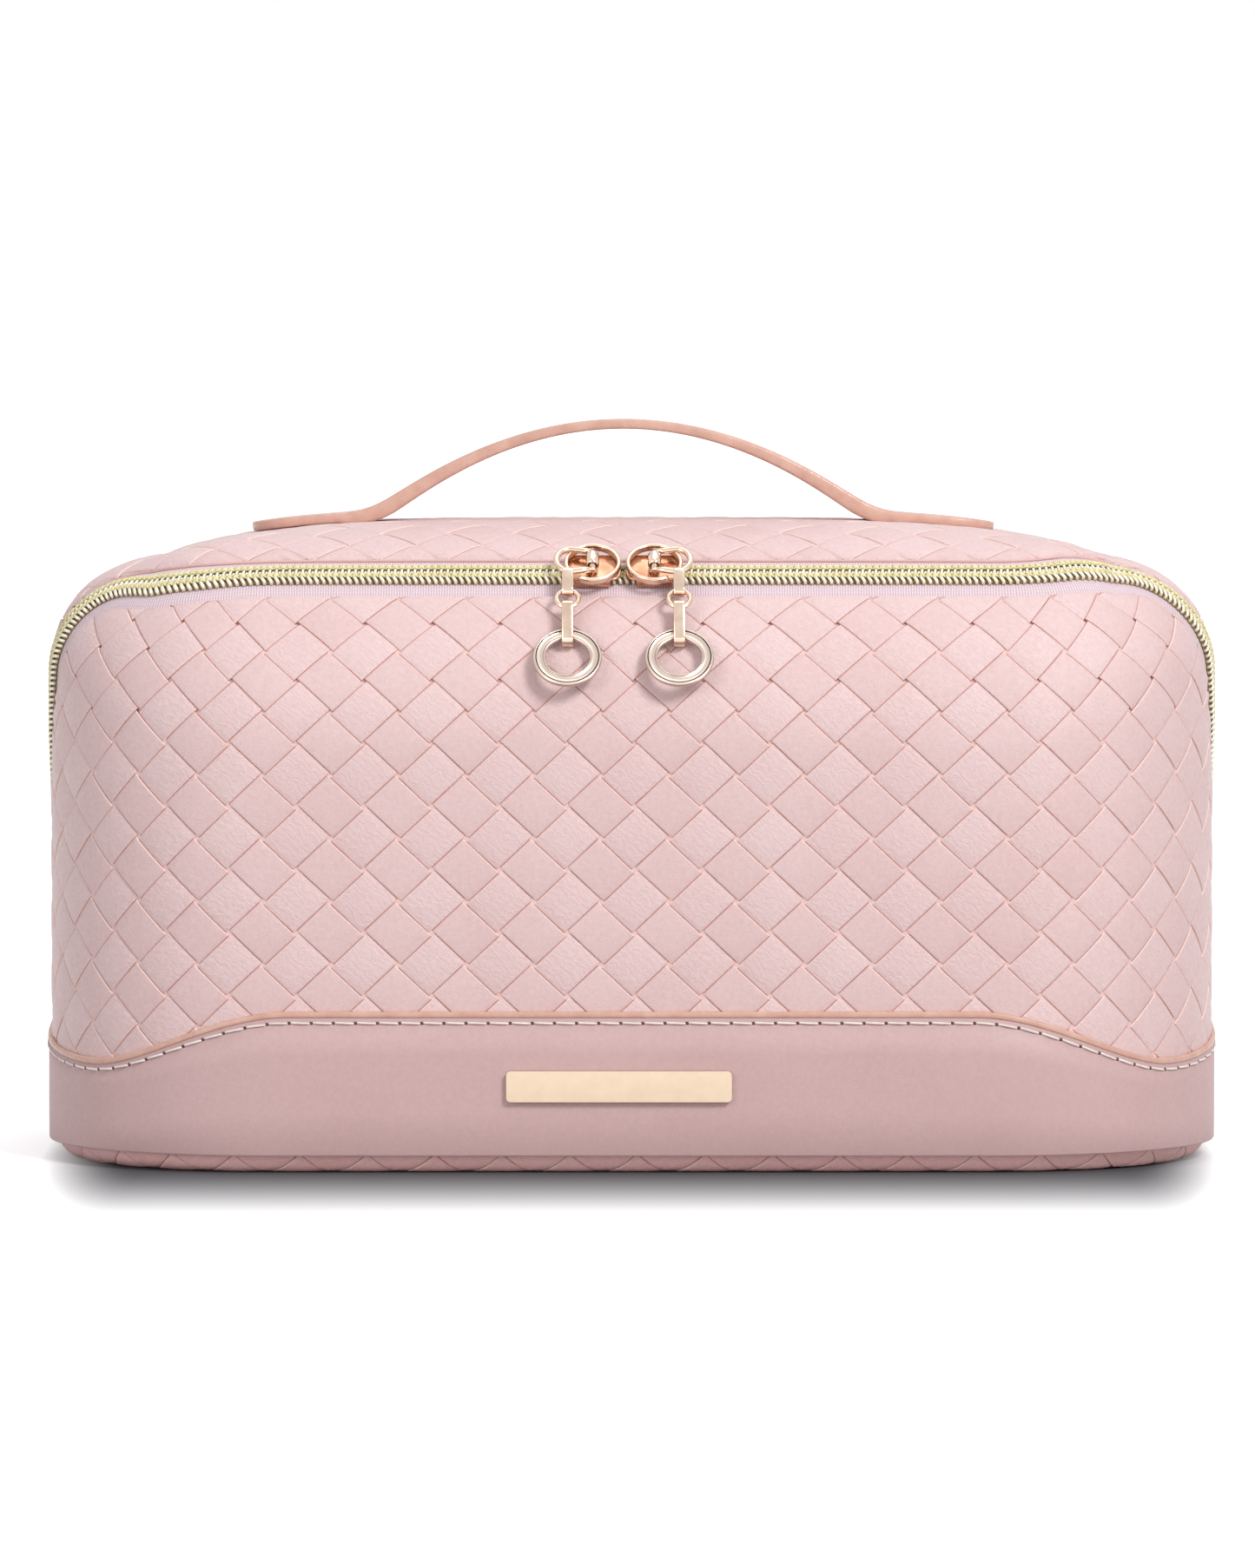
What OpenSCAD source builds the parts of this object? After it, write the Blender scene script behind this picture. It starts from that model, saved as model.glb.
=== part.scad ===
// Train case for make-up: a soft rounded box whose whole top and back swing open on a low rear hinge.
// X runs along the width, the front faces -Y, Z is up. The origin is the middle of the footprint.

/* [Case] */
// Width of the case over its side walls
case_w = 268; // [250:1:290]
// Depth of the case from front to back
case_d = 140; // [130:1:155]
// Height of the case at the crest of its lid, without the handle
case_h = 146.7; // [142:0.1:156]
// Radius of the corners seen from above
corner_r = 52; // [52:1:58]
// Radius of the rounding between the front or back and the top
front_edge_r = 52; // [48:1:52]
// Radius of the rounding between a side and the top
side_edge_r = 24; // [21:1:28]
// How far the top falls from its crest to its ends
crown_drop = 9; // [6:0.5:11]

/* [Walls] */
// Thickness of the woven outer leather
panel_t = 1.2; // [0.9:0.1:1.5]
// Thickness of the zip tape
tape_t = 0.5; // [0.4:0.05:0.7]
// Thickness of the foam, measured from the leather
foam_t = 3; // [2:0.1:4]
// Thickness of the lining
lining_t = 0.6; // [0.4:0.1:0.9]
// Clearance between neighbouring layers
layer_gap = 0.35; // [0.3:0.01:0.4]
// Height of the woven pan under the walls
pan_h = 5; // [4:0.1:6]
// Thickness of the pan's floor
pan_t = 1.2; // [0.9:0.1:1.5]
// Thickness of the stiff floor board
board_t = 2.4; // [1.8:0.1:3]

/* [Zip] */
// Angle on the front rounding at which the zip runs
zip_angle = 51.15; // [48:0.05:54]
// Distance along the wall, before the side begins, at which the zip turns down
zip_turn_back = 21.2; // [18:0.1:24]
// Slope of the zip where it runs down the side
zip_slope = 2; // [1.7:0.05:2.2]
// Length over which the zip eases into its slope
zip_ease = 7; // [6:0.1:8]
// Height of the zip and of the hinge line at the back
zip_low = 24; // [22:0.5:28]
// Distance of the end of the zip from the straight of the back
zip_end_back = 18; // [18:0.5:22]
// Half width of the slot between the two rows of coils
coil_gap = 0.5; // [0.45:0.01:0.6]
// Reach of a row of coils from the middle of the zip
coil_reach = 3.1; // [2.8:0.05:3.3]
// How far the coils stand out of the leather's face
coil_out = 0.8; // [0.6:0.05:0.8]
// Reach of the tape from the middle of the zip
tape_reach = 9.3; // [8.8:0.1:10]
// Distance of the lower leather edge from the middle of the zip
base_edge = 7; // [6:0.1:7.6]
// Distance of the upper leather edge from the middle of the zip
lid_edge = 6; // [5:0.1:7]

/* [Band] */
// Height of the lower edge of the band
band_z = 4.1; // [3.5:0.1:4.8]
// Height of the band's top edge along the front
band_crest = 36.9; // [32:0.1:42]
// Height of the band's top edge at its lowest, on the corners
band_trough = 25; // [22:0.1:28]
// Height of the band's top edge on the sides
band_side = 31; // [29:0.1:34]
// Thickness of the band
band_t = 1; // [0.7:0.1:1.3]
// Width of the plain plate on the band
badge_w = 51; // [40:1:60]
// Height of the plate
badge_h = 7; // [5:0.5:9]
// Thickness of the plate
badge_t = 1; // [0.8:0.1:1.4]
// Distance of the plate to the left of the middle
badge_shift = 2.9; // [0:0.1:5]
// Height of the middle of the plate
badge_z = 20; // [17:0.5:23]

/* [Handle] */
// Width of the handle strap
strap_w = 19; // [16:0.5:22]
// Thickness of the handle strap
strap_t = 2.2; // [1.8:0.1:2.6]
// Height of the handle's top above the crest of the lid
arch_h = 23.6; // [20:0.1:28]
// Half span between the folds where the strap meets the lid
fold_x = 66; // [62:0.5:70]
// Half span between the ends of the sewn tabs
tab_x = 86.6; // [84:0.2:90]
// Distance of the handle to the left of the middle
handle_shift = 2; // [0:0.1:3]
// Half span at which the arch bends clear of its sewn feet
lean_x = 56; // [53:0.5:58]
// Gap between the arch and a foot
lean_gap = 0.3; // [0.3:0.05:0.5]

/* [Sliders] */
// Distance of the closed sliders' meeting point to the left of the middle
meet_shift = 1.9; // [0:0.1:4]
// Length of a slider along the zip
slider_l = 13; // [12:0.1:13.4]
// Width of a slider across the zip
slider_w = 8.6; // [8:0.1:9]
// Distance between the middles of the two closed sliders
slider_pitch = 14.1; // [14:0.1:16]
// Thickness of a slider's plates
plate_t = 0.7; // [0.6:0.05:0.8]
// Clearance between the plates and the coils or the tape
plate_gap = 0.8; // [0.7:0.05:1]
// Outer radius of the crown ring on a slider
crown_r = 6.65; // [6.4:0.05:6.7]
// Width of the crown ring's band
crown_band = 1.85; // [1.5:0.05:2]
// Height of the crown ring
crown_h = 1.2; // [1:0.1:1.2]

/* [Pulls] */
// Thickness of the pull loop's wire
loop_wire = 1.4; // [1.2:0.1:1.4]
// Length of the pull loop from its bar to its far end
loop_l = 8.2; // [8:0.1:9]
// Half width of the pull loop
loop_w = 4.8; // [4.8:0.1:5.2]
// Radius of the far corners of the pull loop
loop_corner = 2.2; // [2:0.1:2.3]
// Distance of the hanging chain from the pull loop's bar
chain_x = 5.6; // [5.3:0.1:5.7]
// Thickness of the strip that the links are bent from
strip_t = 0.55; // [0.5:0.05:0.6]
// Width of that strip
strip_w = 2; // [1.8:0.1:2.1]
// Inner radius of the clip's eyes
eye_r = 1; // [1:0.05:1.05]
// Inner radius of the bar link's lower eye
big_eye_r = 1.6; // [1.55:0.05:1.7]
// Distance between the clip's eyes
clip_l = 4.6; // [4.6:0.1:5]
// Mean radius of the small ring
small_ring_r = 2.5; // [2.4:0.1:2.7]
// Thickness of the small ring's wire
small_wire = 1.1; // [1:0.05:1.1]
// Distance between the bar link's eyes
bar_l = 6.5; // [6:0.1:7]
// Outer radius of the pull ring
pull_r = 7.7; // [7.2:0.1:7.9]
// Radius of the hole in the pull ring
pull_hole_r = 5; // [4.95:0.05:5.2]
// Thickness of the pull ring
pull_t = 1.4; // [1.2:0.1:1.4]

/* [Pocket] */
// Width of the slip pocket on the back lining
pocket_w = 150; // [120:1:156]
// Height of the slip pocket
pocket_h = 48; // [36:1:52]
// Thickness of the pocket cloth
pocket_t = 0.8; // [0.6:0.1:1]
// Height of the elastic hem of the pocket
hem_h = 6; // [5:0.5:8]

/* [Hidden] */
$fn = 48;

// Colours
weave_pink = [0.87, 0.74, 0.73];
band_pink = [0.81, 0.69, 0.68];
tape_lilac = [0.88, 0.80, 0.83];
coil_gold = [0.90, 0.86, 0.60];
pale_gold = [0.93, 0.84, 0.66];
lining_grey = [0.86, 0.80, 0.80];
foam_white = [0.94, 0.93, 0.91];
board_grey = [0.55, 0.53, 0.52];

// Plan of the case, followed by the arc length s from the middle of the front
half_w = case_w / 2;
half_d = case_d / 2;
run_x = half_w - corner_r;
run_y = half_d - corner_r;
corner_len = corner_r * PI / 2;
side_start = run_x + corner_len;
rear_start = side_start + 2 * run_y;
rear_end = rear_start + corner_len;
half_loop = rear_end + run_x;
crown_reach = half_w - side_edge_r;
crown_power = 4.6;

// Zip line
zip_height_front = case_h - front_edge_r * (1 - zip_angle * PI / 180);
zip_inset = front_edge_r * (1 - cos(zip_angle));
zip_turn = side_start - zip_turn_back;
zip_round = 6;
zip_end = rear_end - zip_end_back;
coil_in = 1.2;
end_gap = 0.6;
tab_l = 6.8;
tab_overlap = 0.4;
tab_steps = 3;
front_y = -half_d + zip_inset;
front_z = case_h - front_edge_r * (1 - sin(zip_angle));
slide_tilt = 90 - zip_angle;

// Layers, as depths below the leather's face
tape_top = panel_t + layer_gap;
foam_top = tape_top;
foam_low = panel_t + foam_t;
lining_top = foam_low + layer_gap;
lining_low = lining_top + lining_t;
hinge_t = 0.8;
hinge_split = 0.15;
soft_reach = tape_reach + 0.3;

// Heights inside the base
wall_z = pan_h + layer_gap;
board_z = pan_t + layer_gap;
floor_z = board_z + board_t + layer_gap;
floor_top = floor_z + lining_t;
pan_rim = panel_t + 0.4;
pan_foot = 7;
board_inset = pan_foot + 2;
pan_lip = 0.5;
pan_belly = 0.8;
pan_curl = 2.4;
badge_r = 1;
split_s = rear_start;

// Band
band_start = run_x - 4;
band_low_s = side_start - 36;
band_end_s = side_start + 21;
band_clear = 0.6;

// Handle
arch_power = 2.1;
foot_gap = 0.4;
fold_ease = 0.7;
arch_foot = 0.1;
tip_half = 1.5;
foot_steps = 8;
fold_past = 3;
flat_past = 8;
tip_steps = 6;
arch_steps = 28;

// Sliders and pulls, in the zip's own frame: x along it, y towards the lid, z outwards
slider_x = meet_shift + slider_pitch / 2;
plate_low = coil_out + plate_gap;
plate_top = plate_low + plate_t;
under_top = -(tape_top + tape_t) - plate_gap;
crown_top = plate_top + crown_h;
loop_n = crown_top + loop_wire / 2 + 0.1;
loop_bar = loop_wire + 0.1;
barrel_r = 1.6;
barrel_bore = loop_bar / 2 + 0.15;
barrel_half = loop_w - loop_wire / 2 - 0.3;
barrel_foot = 2.2;
barrel_foot_in = 0.6;
plate_r = 2.4;
post_x = 3;
post_l = 3;
post_gap = 0.25;
join = 0.1;
crown_from = 240;
crown_arc = 320;
clip_lean = 36.9;
ring_lean = 43;
bar_lean = 18;
pull_lean = 30;
hook_y = front_y - loop_w * cos(slide_tilt) - loop_n * sin(slide_tilt);
hook_z = front_z - loop_w * sin(slide_tilt) + loop_n * cos(slide_tilt);
clip_y = hook_y - clip_l * sin(clip_lean);
clip_z = hook_z - clip_l * cos(clip_lean);
ring_y = clip_y - 2 * small_ring_r * sin(ring_lean);
ring_z = clip_z - 2 * small_ring_r * cos(ring_lean);
bar_y = ring_y - bar_l * sin(bar_lean);
bar_z = ring_z - bar_l * cos(bar_lean);
pull_mean = (pull_r + pull_hole_r) / 2;

// Stations along half of the plan, the same at the front and at the back
front_steps = 4;
corner_steps = 14;
side_steps = 6;
station_gap = 1;
knee_low = 0.1;
knee_high = 0.75;
probe = 0.1;
half_stations = concat(
  [for (k = [0 : front_steps - 1]) run_x * k / front_steps],
  [for (k = [0 : corner_steps - 1]) run_x + corner_len * k / corner_steps],
  [for (k = [0 : side_steps - 1]) side_start + 2 * run_y * k / side_steps],
  [for (k = [0 : corner_steps - 1]) rear_start + corner_len * k / corner_steps],
  [for (k = [0 : front_steps]) rear_end + run_x * k / front_steps]
);
half_count = len(half_stations) - 1;
stations = concat(
  [for (k = [half_count - 1 : -1 : 1]) -half_stations[k]],
  half_stations
);
wall_rows = 8;

function ease(a, b, x) = let (t = min(max((x - a) / (b - a), 0), 1)) t * t * (3 - 2 * t);
function soft_plus(x, k) = x > 40 * k ? x : k * ln(1 + exp(x / k));

// Direction that the wall faces at s: 0 at the front, 90 at the side, 180 at the back
function facing(s) =
  let (a = abs(s))
  a < run_x ? 0
  : a < side_start ? (a - run_x) / corner_r * 180 / PI
  : a < rear_start ? 90
  : a < rear_end ? 90 + (a - rear_start) / corner_r * 180 / PI
  : 180;

// Point of the plan at s, moved inwards by inset
function plan_point(s, inset) =
  let (a = abs(s), f = facing(s), r = corner_r - inset)
  let (x = a < run_x ? a : a < rear_end ? run_x + r * sin(f) : half_loop - a)
  let (y = a < side_start ? -run_y - r * cos(f)
    : a < rear_start ? a - side_start - run_y
    : run_y - r * cos(f))
  [s < 0 ? -x : x, y];

function edge_radius(s) = side_edge_r + (front_edge_r - side_edge_r) * pow(cos(facing(s)), 2);
function fall_at(x) = crown_drop * pow(min(abs(x), crown_reach) / crown_reach, crown_power);
function wall_top(s) =
  case_h - fall_at(plan_point(s, 0)[0]) * pow(sin(facing(s)), 2) - edge_radius(s);
function crest_height(s) = wall_top(s) + edge_radius(s) * PI / 2;

// Point of the case's skin: s along the plan, v up the wall and over its rounding, depth inwards
function skin(s, v, depth) =
  let (f = facing(s), r = edge_radius(s), top = wall_top(s))
  let (turn = v <= top ? 0 : min((v - top) / r * 180 / PI, 90))
  let (inset = r * (1 - cos(turn)), outer = plan_point(s, inset))
  let (share = pow(sin(f), 2) + pow(cos(f), 2) * ease(zip_inset, r, inset))
  let (p = plan_point(s, r - (r - depth) * cos(turn)))
  [p[0], p[1],
    v <= top ? v : case_h - fall_at(outer[0]) * share - r + (r - depth) * sin(turn)];

// Height of the zip line on the skin, its slope, and a point beside it in s and v
function zip_free(s) = zip_height_front - zip_slope * soft_plus(abs(s) - zip_turn, zip_ease);
function zip_line(s) = zip_low + soft_plus(zip_free(s) - zip_low, zip_round);
function zip_fall(s) = (zip_line(s + probe) - zip_line(s - probe)) / (2 * probe);
function beside_zip(s, reach) =
  let (m = zip_fall(s), k = sqrt(1 + m * m))
  [s - m * reach / k, zip_line(s) + reach / k];

// Height of the band's top edge
function band_top(s) =
  let (a = abs(s), m = zip_fall(s))
  min(
    band_crest - (band_crest - band_trough) * ease(band_start, band_low_s, a)
      + (band_side - band_trough) * ease(band_low_s, band_end_s, a),
    zip_line(s) - (base_edge + band_clear) * sqrt(1 + m * m)
  );

// Columns are pairs of [s, v] ends: wall columns, lid columns and strips beside the zip
function base_columns(low, reach, from, to) =
  [for (s = stations) if (s >= from && s <= to) [[s, low], beside_zip(s, -reach)]];
function lid_columns(reach) =
  [for (s = stations) [beside_zip(s, reach), [s, crest_height(s)]]];
function strip_columns(near, far, from, to) =
  [for (s = zip_stations(from, to)) [beside_zip(s, near), beside_zip(s, far)]];
function zip_stations(from, to) =
  concat([from], [for (s = stations) if (s > from + station_gap && s < to - station_gap) s], [to]);

// Point on a column: the first row spans the plain wall, the others share its rounding
function column_point(column, row, rows, depth) =
  let (low = column[0], high = column[1], knee = wall_top(high[0]))
  let (first = min(max((knee - low[1]) / (high[1] - low[1]), knee_low), knee_high))
  let (t = row == 0 ? 0 : row == rows ? 1 : first + (1 - first) * (row - 1) / (rows - 1))
  skin(low[0] + (high[0] - low[0]) * t, low[1] + (high[1] - low[1]) * t, depth);

function two(a, b, c, d) = [[a, b, c], [a, c, d]];
function flat(list) = [for (group = list) for (item = group) item];

// A wall between two depths, over a run of columns
module wall(columns, outer, inner, rows = wall_rows) {
  count = len(columns);
  line = rows + 1;
  side = count * line;
  points = [for (depth = [outer, inner]) for (c = columns) for (row = [0 : rows])
    column_point(c, row, rows, depth)];
  faces = flat([
    for (j = [0 : count - 2]) let (a = j * line, b = a + line)
      concat(
        flat([for (row = [0 : rows - 1]) two(a + row, a + row + 1, b + row + 1, b + row)]),
        flat([for (row = [0 : rows - 1])
          two(side + b + row, side + b + row + 1, side + a + row + 1, side + a + row)]),
        two(a, b, side + b, side + a),
        two(b + rows, a + rows, side + a + rows, side + b + rows)
      ),
    flat([for (row = [0 : rows - 1]) two(row + 1, row, side + row, side + row + 1)]),
    flat([for (row = [0 : rows - 1]) let (e = side - line + row)
      two(e, e + 1, side + e + 1, side + e)])
  ]);
  polyhedron(points, faces);
}

// A closed ring wall all round the plan
module ring_wall(columns, outer, inner, rows = wall_rows) {
  count = len(columns);
  line = rows + 1;
  side = count * line;
  points = [for (depth = [outer, inner]) for (c = columns) for (row = [0 : rows])
    column_point(c, row, rows, depth)];
  faces = flat([
    for (j = [0 : count - 1]) let (a = j * line, b = ((j + 1) % count) * line)
      concat(
        flat([for (row = [0 : rows - 1]) two(a + row, a + row + 1, b + row + 1, b + row)]),
        flat([for (row = [0 : rows - 1])
          two(side + b + row, side + b + row + 1, side + a + row + 1, side + a + row)]),
        two(a, b, side + b, side + a),
        two(b + rows, a + rows, side + a + rows, side + b + rows)
      )
  ]);
  polyhedron(points, faces);
}

// Faces that close the top between the front and the back, on one side of one surface
function crown_faces(start, line, flip) =
  let (count = 2 * half_count, middle = half_count - 1)
  let (at = function (k) start + ((k + count) % count) * line)
  let (strip_end = front_steps + corner_steps)
  flat([
    for (hand = [1, -1]) concat(
      flat([for (k = [0 : strip_end - 2])
        let (a = at(middle + hand * k), b = at(middle + hand * (k + 1)))
        let (c = at(middle + hand * (half_count - k - 1)), d = at(middle + hand * (half_count - k)))
        hand * flip > 0 ? two(d, c, b, a) : two(a, b, c, d)]),
      let (k0 = strip_end - 1, hub = at(middle + hand * k0))
      [for (k = [k0 + 1 : half_count - k0 - 1])
        let (b = at(middle + hand * k), c = at(middle + hand * (k + 1)))
        hand * flip > 0 ? [hub, c, b] : [hub, b, c]]
    )
  ]);

// A lid layer: a ring that is closed over the top
module lid_layer(columns, outer, inner, rows = wall_rows) {
  count = len(columns);
  line = rows + 1;
  side = count * line;
  points = [for (depth = [outer, inner]) for (c = columns) for (row = [0 : rows])
    column_point(c, row, rows, depth)];
  faces = concat(
    flat([
      for (j = [0 : count - 1]) let (a = j * line, b = ((j + 1) % count) * line)
        concat(
          flat([for (row = [0 : rows - 1]) two(a + row, a + row + 1, b + row + 1, b + row)]),
          flat([for (row = [0 : rows - 1])
            two(side + b + row, side + b + row + 1, side + a + row + 1, side + a + row)]),
          two(a, b, side + b, side + a)
        )
    ]),
    crown_faces(rows, line, 1),
    crown_faces(side + rows, line, -1)
  );
  polyhedron(points, faces);
}

// A strip that lies beside the zip
module zip_strip(near, far, outer, inner, from, to) {
  wall(strip_columns(near, far, from, to), outer, inner, 1);
}

module rounded_plate(w, d, r, t) {
  linear_extrude(t) {
    square([w - 2 * r, d], center = true);
    square([w, d - 2 * r], center = true);
    for (x = [-1, 1]) for (y = [-1, 1])
      translate([x * (w / 2 - r), y * (d / 2 - r)]) circle(r);
  }
}

module front_wall_panel() {
  color(weave_pink) wall(base_columns(wall_z, base_edge, -split_s, split_s), 0, panel_t);
}

module rear_sill_panel() {
  columns = concat(
    [for (s = half_stations) if (s > split_s + station_gap) [[s, wall_z], beside_zip(s, -base_edge)]],
    [for (k = [half_count - 1 : -1 : 1]) let (s = -half_stations[k])
      if (s < -split_s - station_gap) [[s, wall_z], beside_zip(s, -base_edge)]]
  );
  color(weave_pink) wall(columns, 0, panel_t, 2);
}

module bottom_panel() {
  rims = [
    [board_inset - pan_lip, pan_t], [pan_rim + panel_t, pan_h], [pan_rim, pan_h],
    [pan_rim + pan_belly, pan_h / 2], [pan_rim + pan_curl, pan_h / 5], [pan_foot, 0]
  ];
  count = len(stations);
  last = len(rims) - 1;
  loops = [for (rim = rims) for (s = stations) let (p = plan_point(s, rim[0])) [p[0], p[1], rim[1]]];
  points = concat(loops, [[0, 0, pan_t], [0, 0, 0]]);
  hub = len(loops);
  faces = concat(
    flat([for (k = [0 : last - 1]) for (j = [0 : count - 1]) let (n = (j + 1) % count)
      two(k * count + j, k * count + n, (k + 1) * count + n, (k + 1) * count + j)]),
    [for (j = [0 : count - 1]) let (n = (j + 1) % count) [n, j, hub]],
    [for (j = [0 : count - 1]) let (n = (j + 1) % count) [last * count + j, last * count + n, hub + 1]]
  );
  color(weave_pink) polyhedron(points, faces);
}

module floor_board() {
  color(board_grey) translate([0, 0, board_z])
    rounded_plate(case_w - 2 * board_inset, case_d - 2 * board_inset, corner_r - board_inset, board_t);
}

module floor_lining() {
  inset = lining_low + layer_gap;
  color(lining_grey) translate([0, 0, floor_z])
    rounded_plate(case_w - 2 * inset, case_d - 2 * inset, corner_r - inset, lining_t);
}

module base_foam() {
  color(foam_white) ring_wall(base_columns(wall_z, soft_reach, -half_loop, half_loop), foam_top, foam_low);
}

module base_lining() {
  color(lining_grey)
    ring_wall(base_columns(floor_top + layer_gap, soft_reach, -half_loop, half_loop), lining_top, lining_low);
}

module base_band() {
  columns = [for (s = stations) [[s, band_z], [s, band_top(s)]]];
  color(band_pink) ring_wall(columns, -layer_gap - band_t, -layer_gap, 1);
}

module blank_plate() {
  color(pale_gold)
    translate([-badge_shift, -half_d - band_t - 1.5 * layer_gap, badge_z]) rotate([90, 0, 0])
      rounded_plate(badge_w, badge_h, badge_r, badge_t);
}

module zip_tape_base() {
  color(tape_lilac) zip_strip(-tape_reach, -coil_gap, tape_top, tape_top + tape_t, -zip_end, zip_end);
}

module zip_coil_base() {
  color(coil_gold) zip_strip(-coil_reach, -coil_gap, -coil_out, coil_in, -zip_end, zip_end);
}

module zip_tab(hand) {
  near = zip_end + end_gap;
  from = hand > 0 ? near : -near - tab_l;
  columns = [for (k = [0 : tab_steps]) let (s = from + tab_l * k / tab_steps)
    [beside_zip(s, -base_edge + tab_overlap), beside_zip(s, -coil_gap)]];
  color(band_pink) wall(columns, 0, panel_t, 1);
}

module zip_tab_left() { zip_tab(-1); }
module zip_tab_right() { zip_tab(1); }

// The cloth hinge lies where the tape would, from one end of the zip round the back to the other
module hinge_strip(near, far) {
  start = zip_end + end_gap;
  side = [for (s = half_stations) if (s > start + station_gap) s];
  run = concat([start], side, [for (k = [len(side) - 2 : -1 : 0]) -side[k]], [-start]);
  columns = [for (s = run) [[s, zip_low + near], [s, zip_low + far]]];
  color(band_pink) wall(columns, tape_top, tape_top + hinge_t, 1);
}

module hinge_strip_base() { hinge_strip(-tape_reach, -hinge_split); }
module hinge_strip_lid() { hinge_strip(hinge_split, tape_reach); }

module lid_panel() {
  color(weave_pink) lid_layer(lid_columns(lid_edge), 0, panel_t);
}

module lid_foam() {
  color(foam_white) lid_layer(lid_columns(soft_reach), foam_top, foam_low);
}

module lid_lining() {
  color(lining_grey) lid_layer(lid_columns(soft_reach), lining_top, lining_low);
}

module zip_tape_lid() {
  color(tape_lilac) zip_strip(coil_gap, tape_reach, tape_top, tape_top + tape_t, -zip_end, zip_end);
}

module zip_coil_lid() {
  color(coil_gold) zip_strip(coil_gap, coil_reach, -coil_out, coil_in, -zip_end, zip_end);
}

// The pocket stands on the flat stretch of the lining inside the back
pocket_z = zip_low + soft_reach + 3;
module slip_pocket() {
  color(tape_lilac)
    translate([-pocket_w / 2, half_d - lining_low - layer_gap - pocket_t, pocket_z])
      cube([pocket_w, pocket_t, pocket_h]);
}

module pocket_hem() {
  color(band_pink)
    translate([-pocket_w / 2, half_d - lining_low - 2 * layer_gap - 2 * pocket_t,
      pocket_z + pocket_h - hem_h])
      cube([pocket_w, pocket_t, hem_h]);
}

// Top of the strap over the distance x from the handle's middle
function lid_top(x) = case_h - fall_at(x);
function tab_height(x) = lid_top(x) + foot_gap + strap_t;
function arch_height(x) = case_h + arch_h - (arch_h - arch_foot) * pow(abs(x) / fold_x, arch_power);
function strap_height(x) = tab_height(x) + soft_plus(arch_height(x) - tab_height(x), fold_ease);
function strap_half(x) =
  let (r = strap_w / 2, past = max(abs(x) - (tab_x - r), 0))
  max(sqrt(max(r * r - past * past, 0)), tip_half);

// A stretch of the strap through the given stations
module strap(xs) {
  count = len(xs);
  points = [for (x = xs)
    let (slope = (strap_height(x + probe) - strap_height(x - probe)) / (2 * probe))
    let (k = sqrt(1 + slope * slope))
    let (w = strap_half(x), z = strap_height(x), dx = strap_t * slope / k, dz = strap_t / k)
    let (cut = abs(abs(x) - lean_x) < lean_gap ? 0 : dx)
    each [[x, -w, z], [x, w, z], [x + cut, w, z - (cut == 0 ? strap_t * k : dz)],
      [x + cut, -w, z - (cut == 0 ? strap_t * k : dz)]]];
  faces = concat(
    flat([for (j = [0 : count - 2]) for (e = [0 : 3])
      let (a = j * 4 + e, b = j * 4 + (e + 1) % 4)
      two(a, b, b + 4, a + 4)]),
    two(3, 2, 1, 0),
    two(4 * count - 4, 4 * count - 3, 4 * count - 2, 4 * count - 1)
  );
  translate([-handle_shift, 0, 0]) color(band_pink) polyhedron(points, faces);
}

foot_start = lean_x + lean_gap / 2;
tab_r = strap_w / 2;
foot_stations = concat(
  [for (k = [0 : foot_steps]) foot_start + (fold_x + fold_past - foot_start) * k / foot_steps],
  [fold_x + flat_past],
  [for (k = [0 : tip_steps]) tab_x - tab_r * (1 - sin(90 * k / tip_steps))]
);
module handle_foot_right() { strap(foot_stations); }
module handle_foot_left() {
  strap([for (k = [len(foot_stations) - 1 : -1 : 0]) -foot_stations[k]]);
}

module handle_arch() {
  reach = lean_x - lean_gap / 2;
  strap([for (k = [0 : arch_steps]) -reach + 2 * reach * k / arch_steps]);
}

// Places a slider's piece; hand is -1 on the left and 1 on the right
module at_slider(hand) {
  translate([-meet_shift + hand * slider_pitch / 2, front_y, front_z]) rotate([slide_tilt, 0, 0])
    mirror([hand > 0 ? 1 : 0, 0, 0]) children();
}

module slider(hand) {
  color(pale_gold) at_slider(hand) {
    for (n = [plate_low, under_top - plate_t])
      translate([0, 0, n]) rounded_plate(slider_l, slider_w, plate_r, plate_t);
    translate([post_x, 0, (plate_low + under_top) / 2])
      cube([post_l, 2 * (coil_gap - post_gap), plate_low - under_top + 2 * join], center = true);
    translate([-slider_l / 2 + plate_r, -slider_w / 2, 0])
      cube([slider_l - 2 * plate_r, slider_w / 2 - coil_reach - coil_gap, plate_low + join]);
    difference() {
      union() {
        translate([0, 0, loop_n]) rotate([90, 0, 0])
          cylinder(h = 2 * barrel_half, r = barrel_r, center = true);
        translate([-barrel_foot / 2, -barrel_half + barrel_foot_in, plate_low + join])
          cube([barrel_foot, 2 * (barrel_half - barrel_foot_in), loop_n - plate_low]);
      }
      translate([0, 0, loop_n]) rotate([90, 0, 0])
        cylinder(h = 3 * barrel_half, r = barrel_bore, center = true);
    }
  }
}

// The crown ring is open where the chain hangs
module slider_crown(hand) {
  color(pale_gold) at_slider(hand) translate([0, 0, plate_top]) rotate([0, 0, crown_from])
    rotate_extrude(angle = crown_arc) translate([crown_r - crown_band, 0]) square([crown_band, crown_h]);
}

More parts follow.
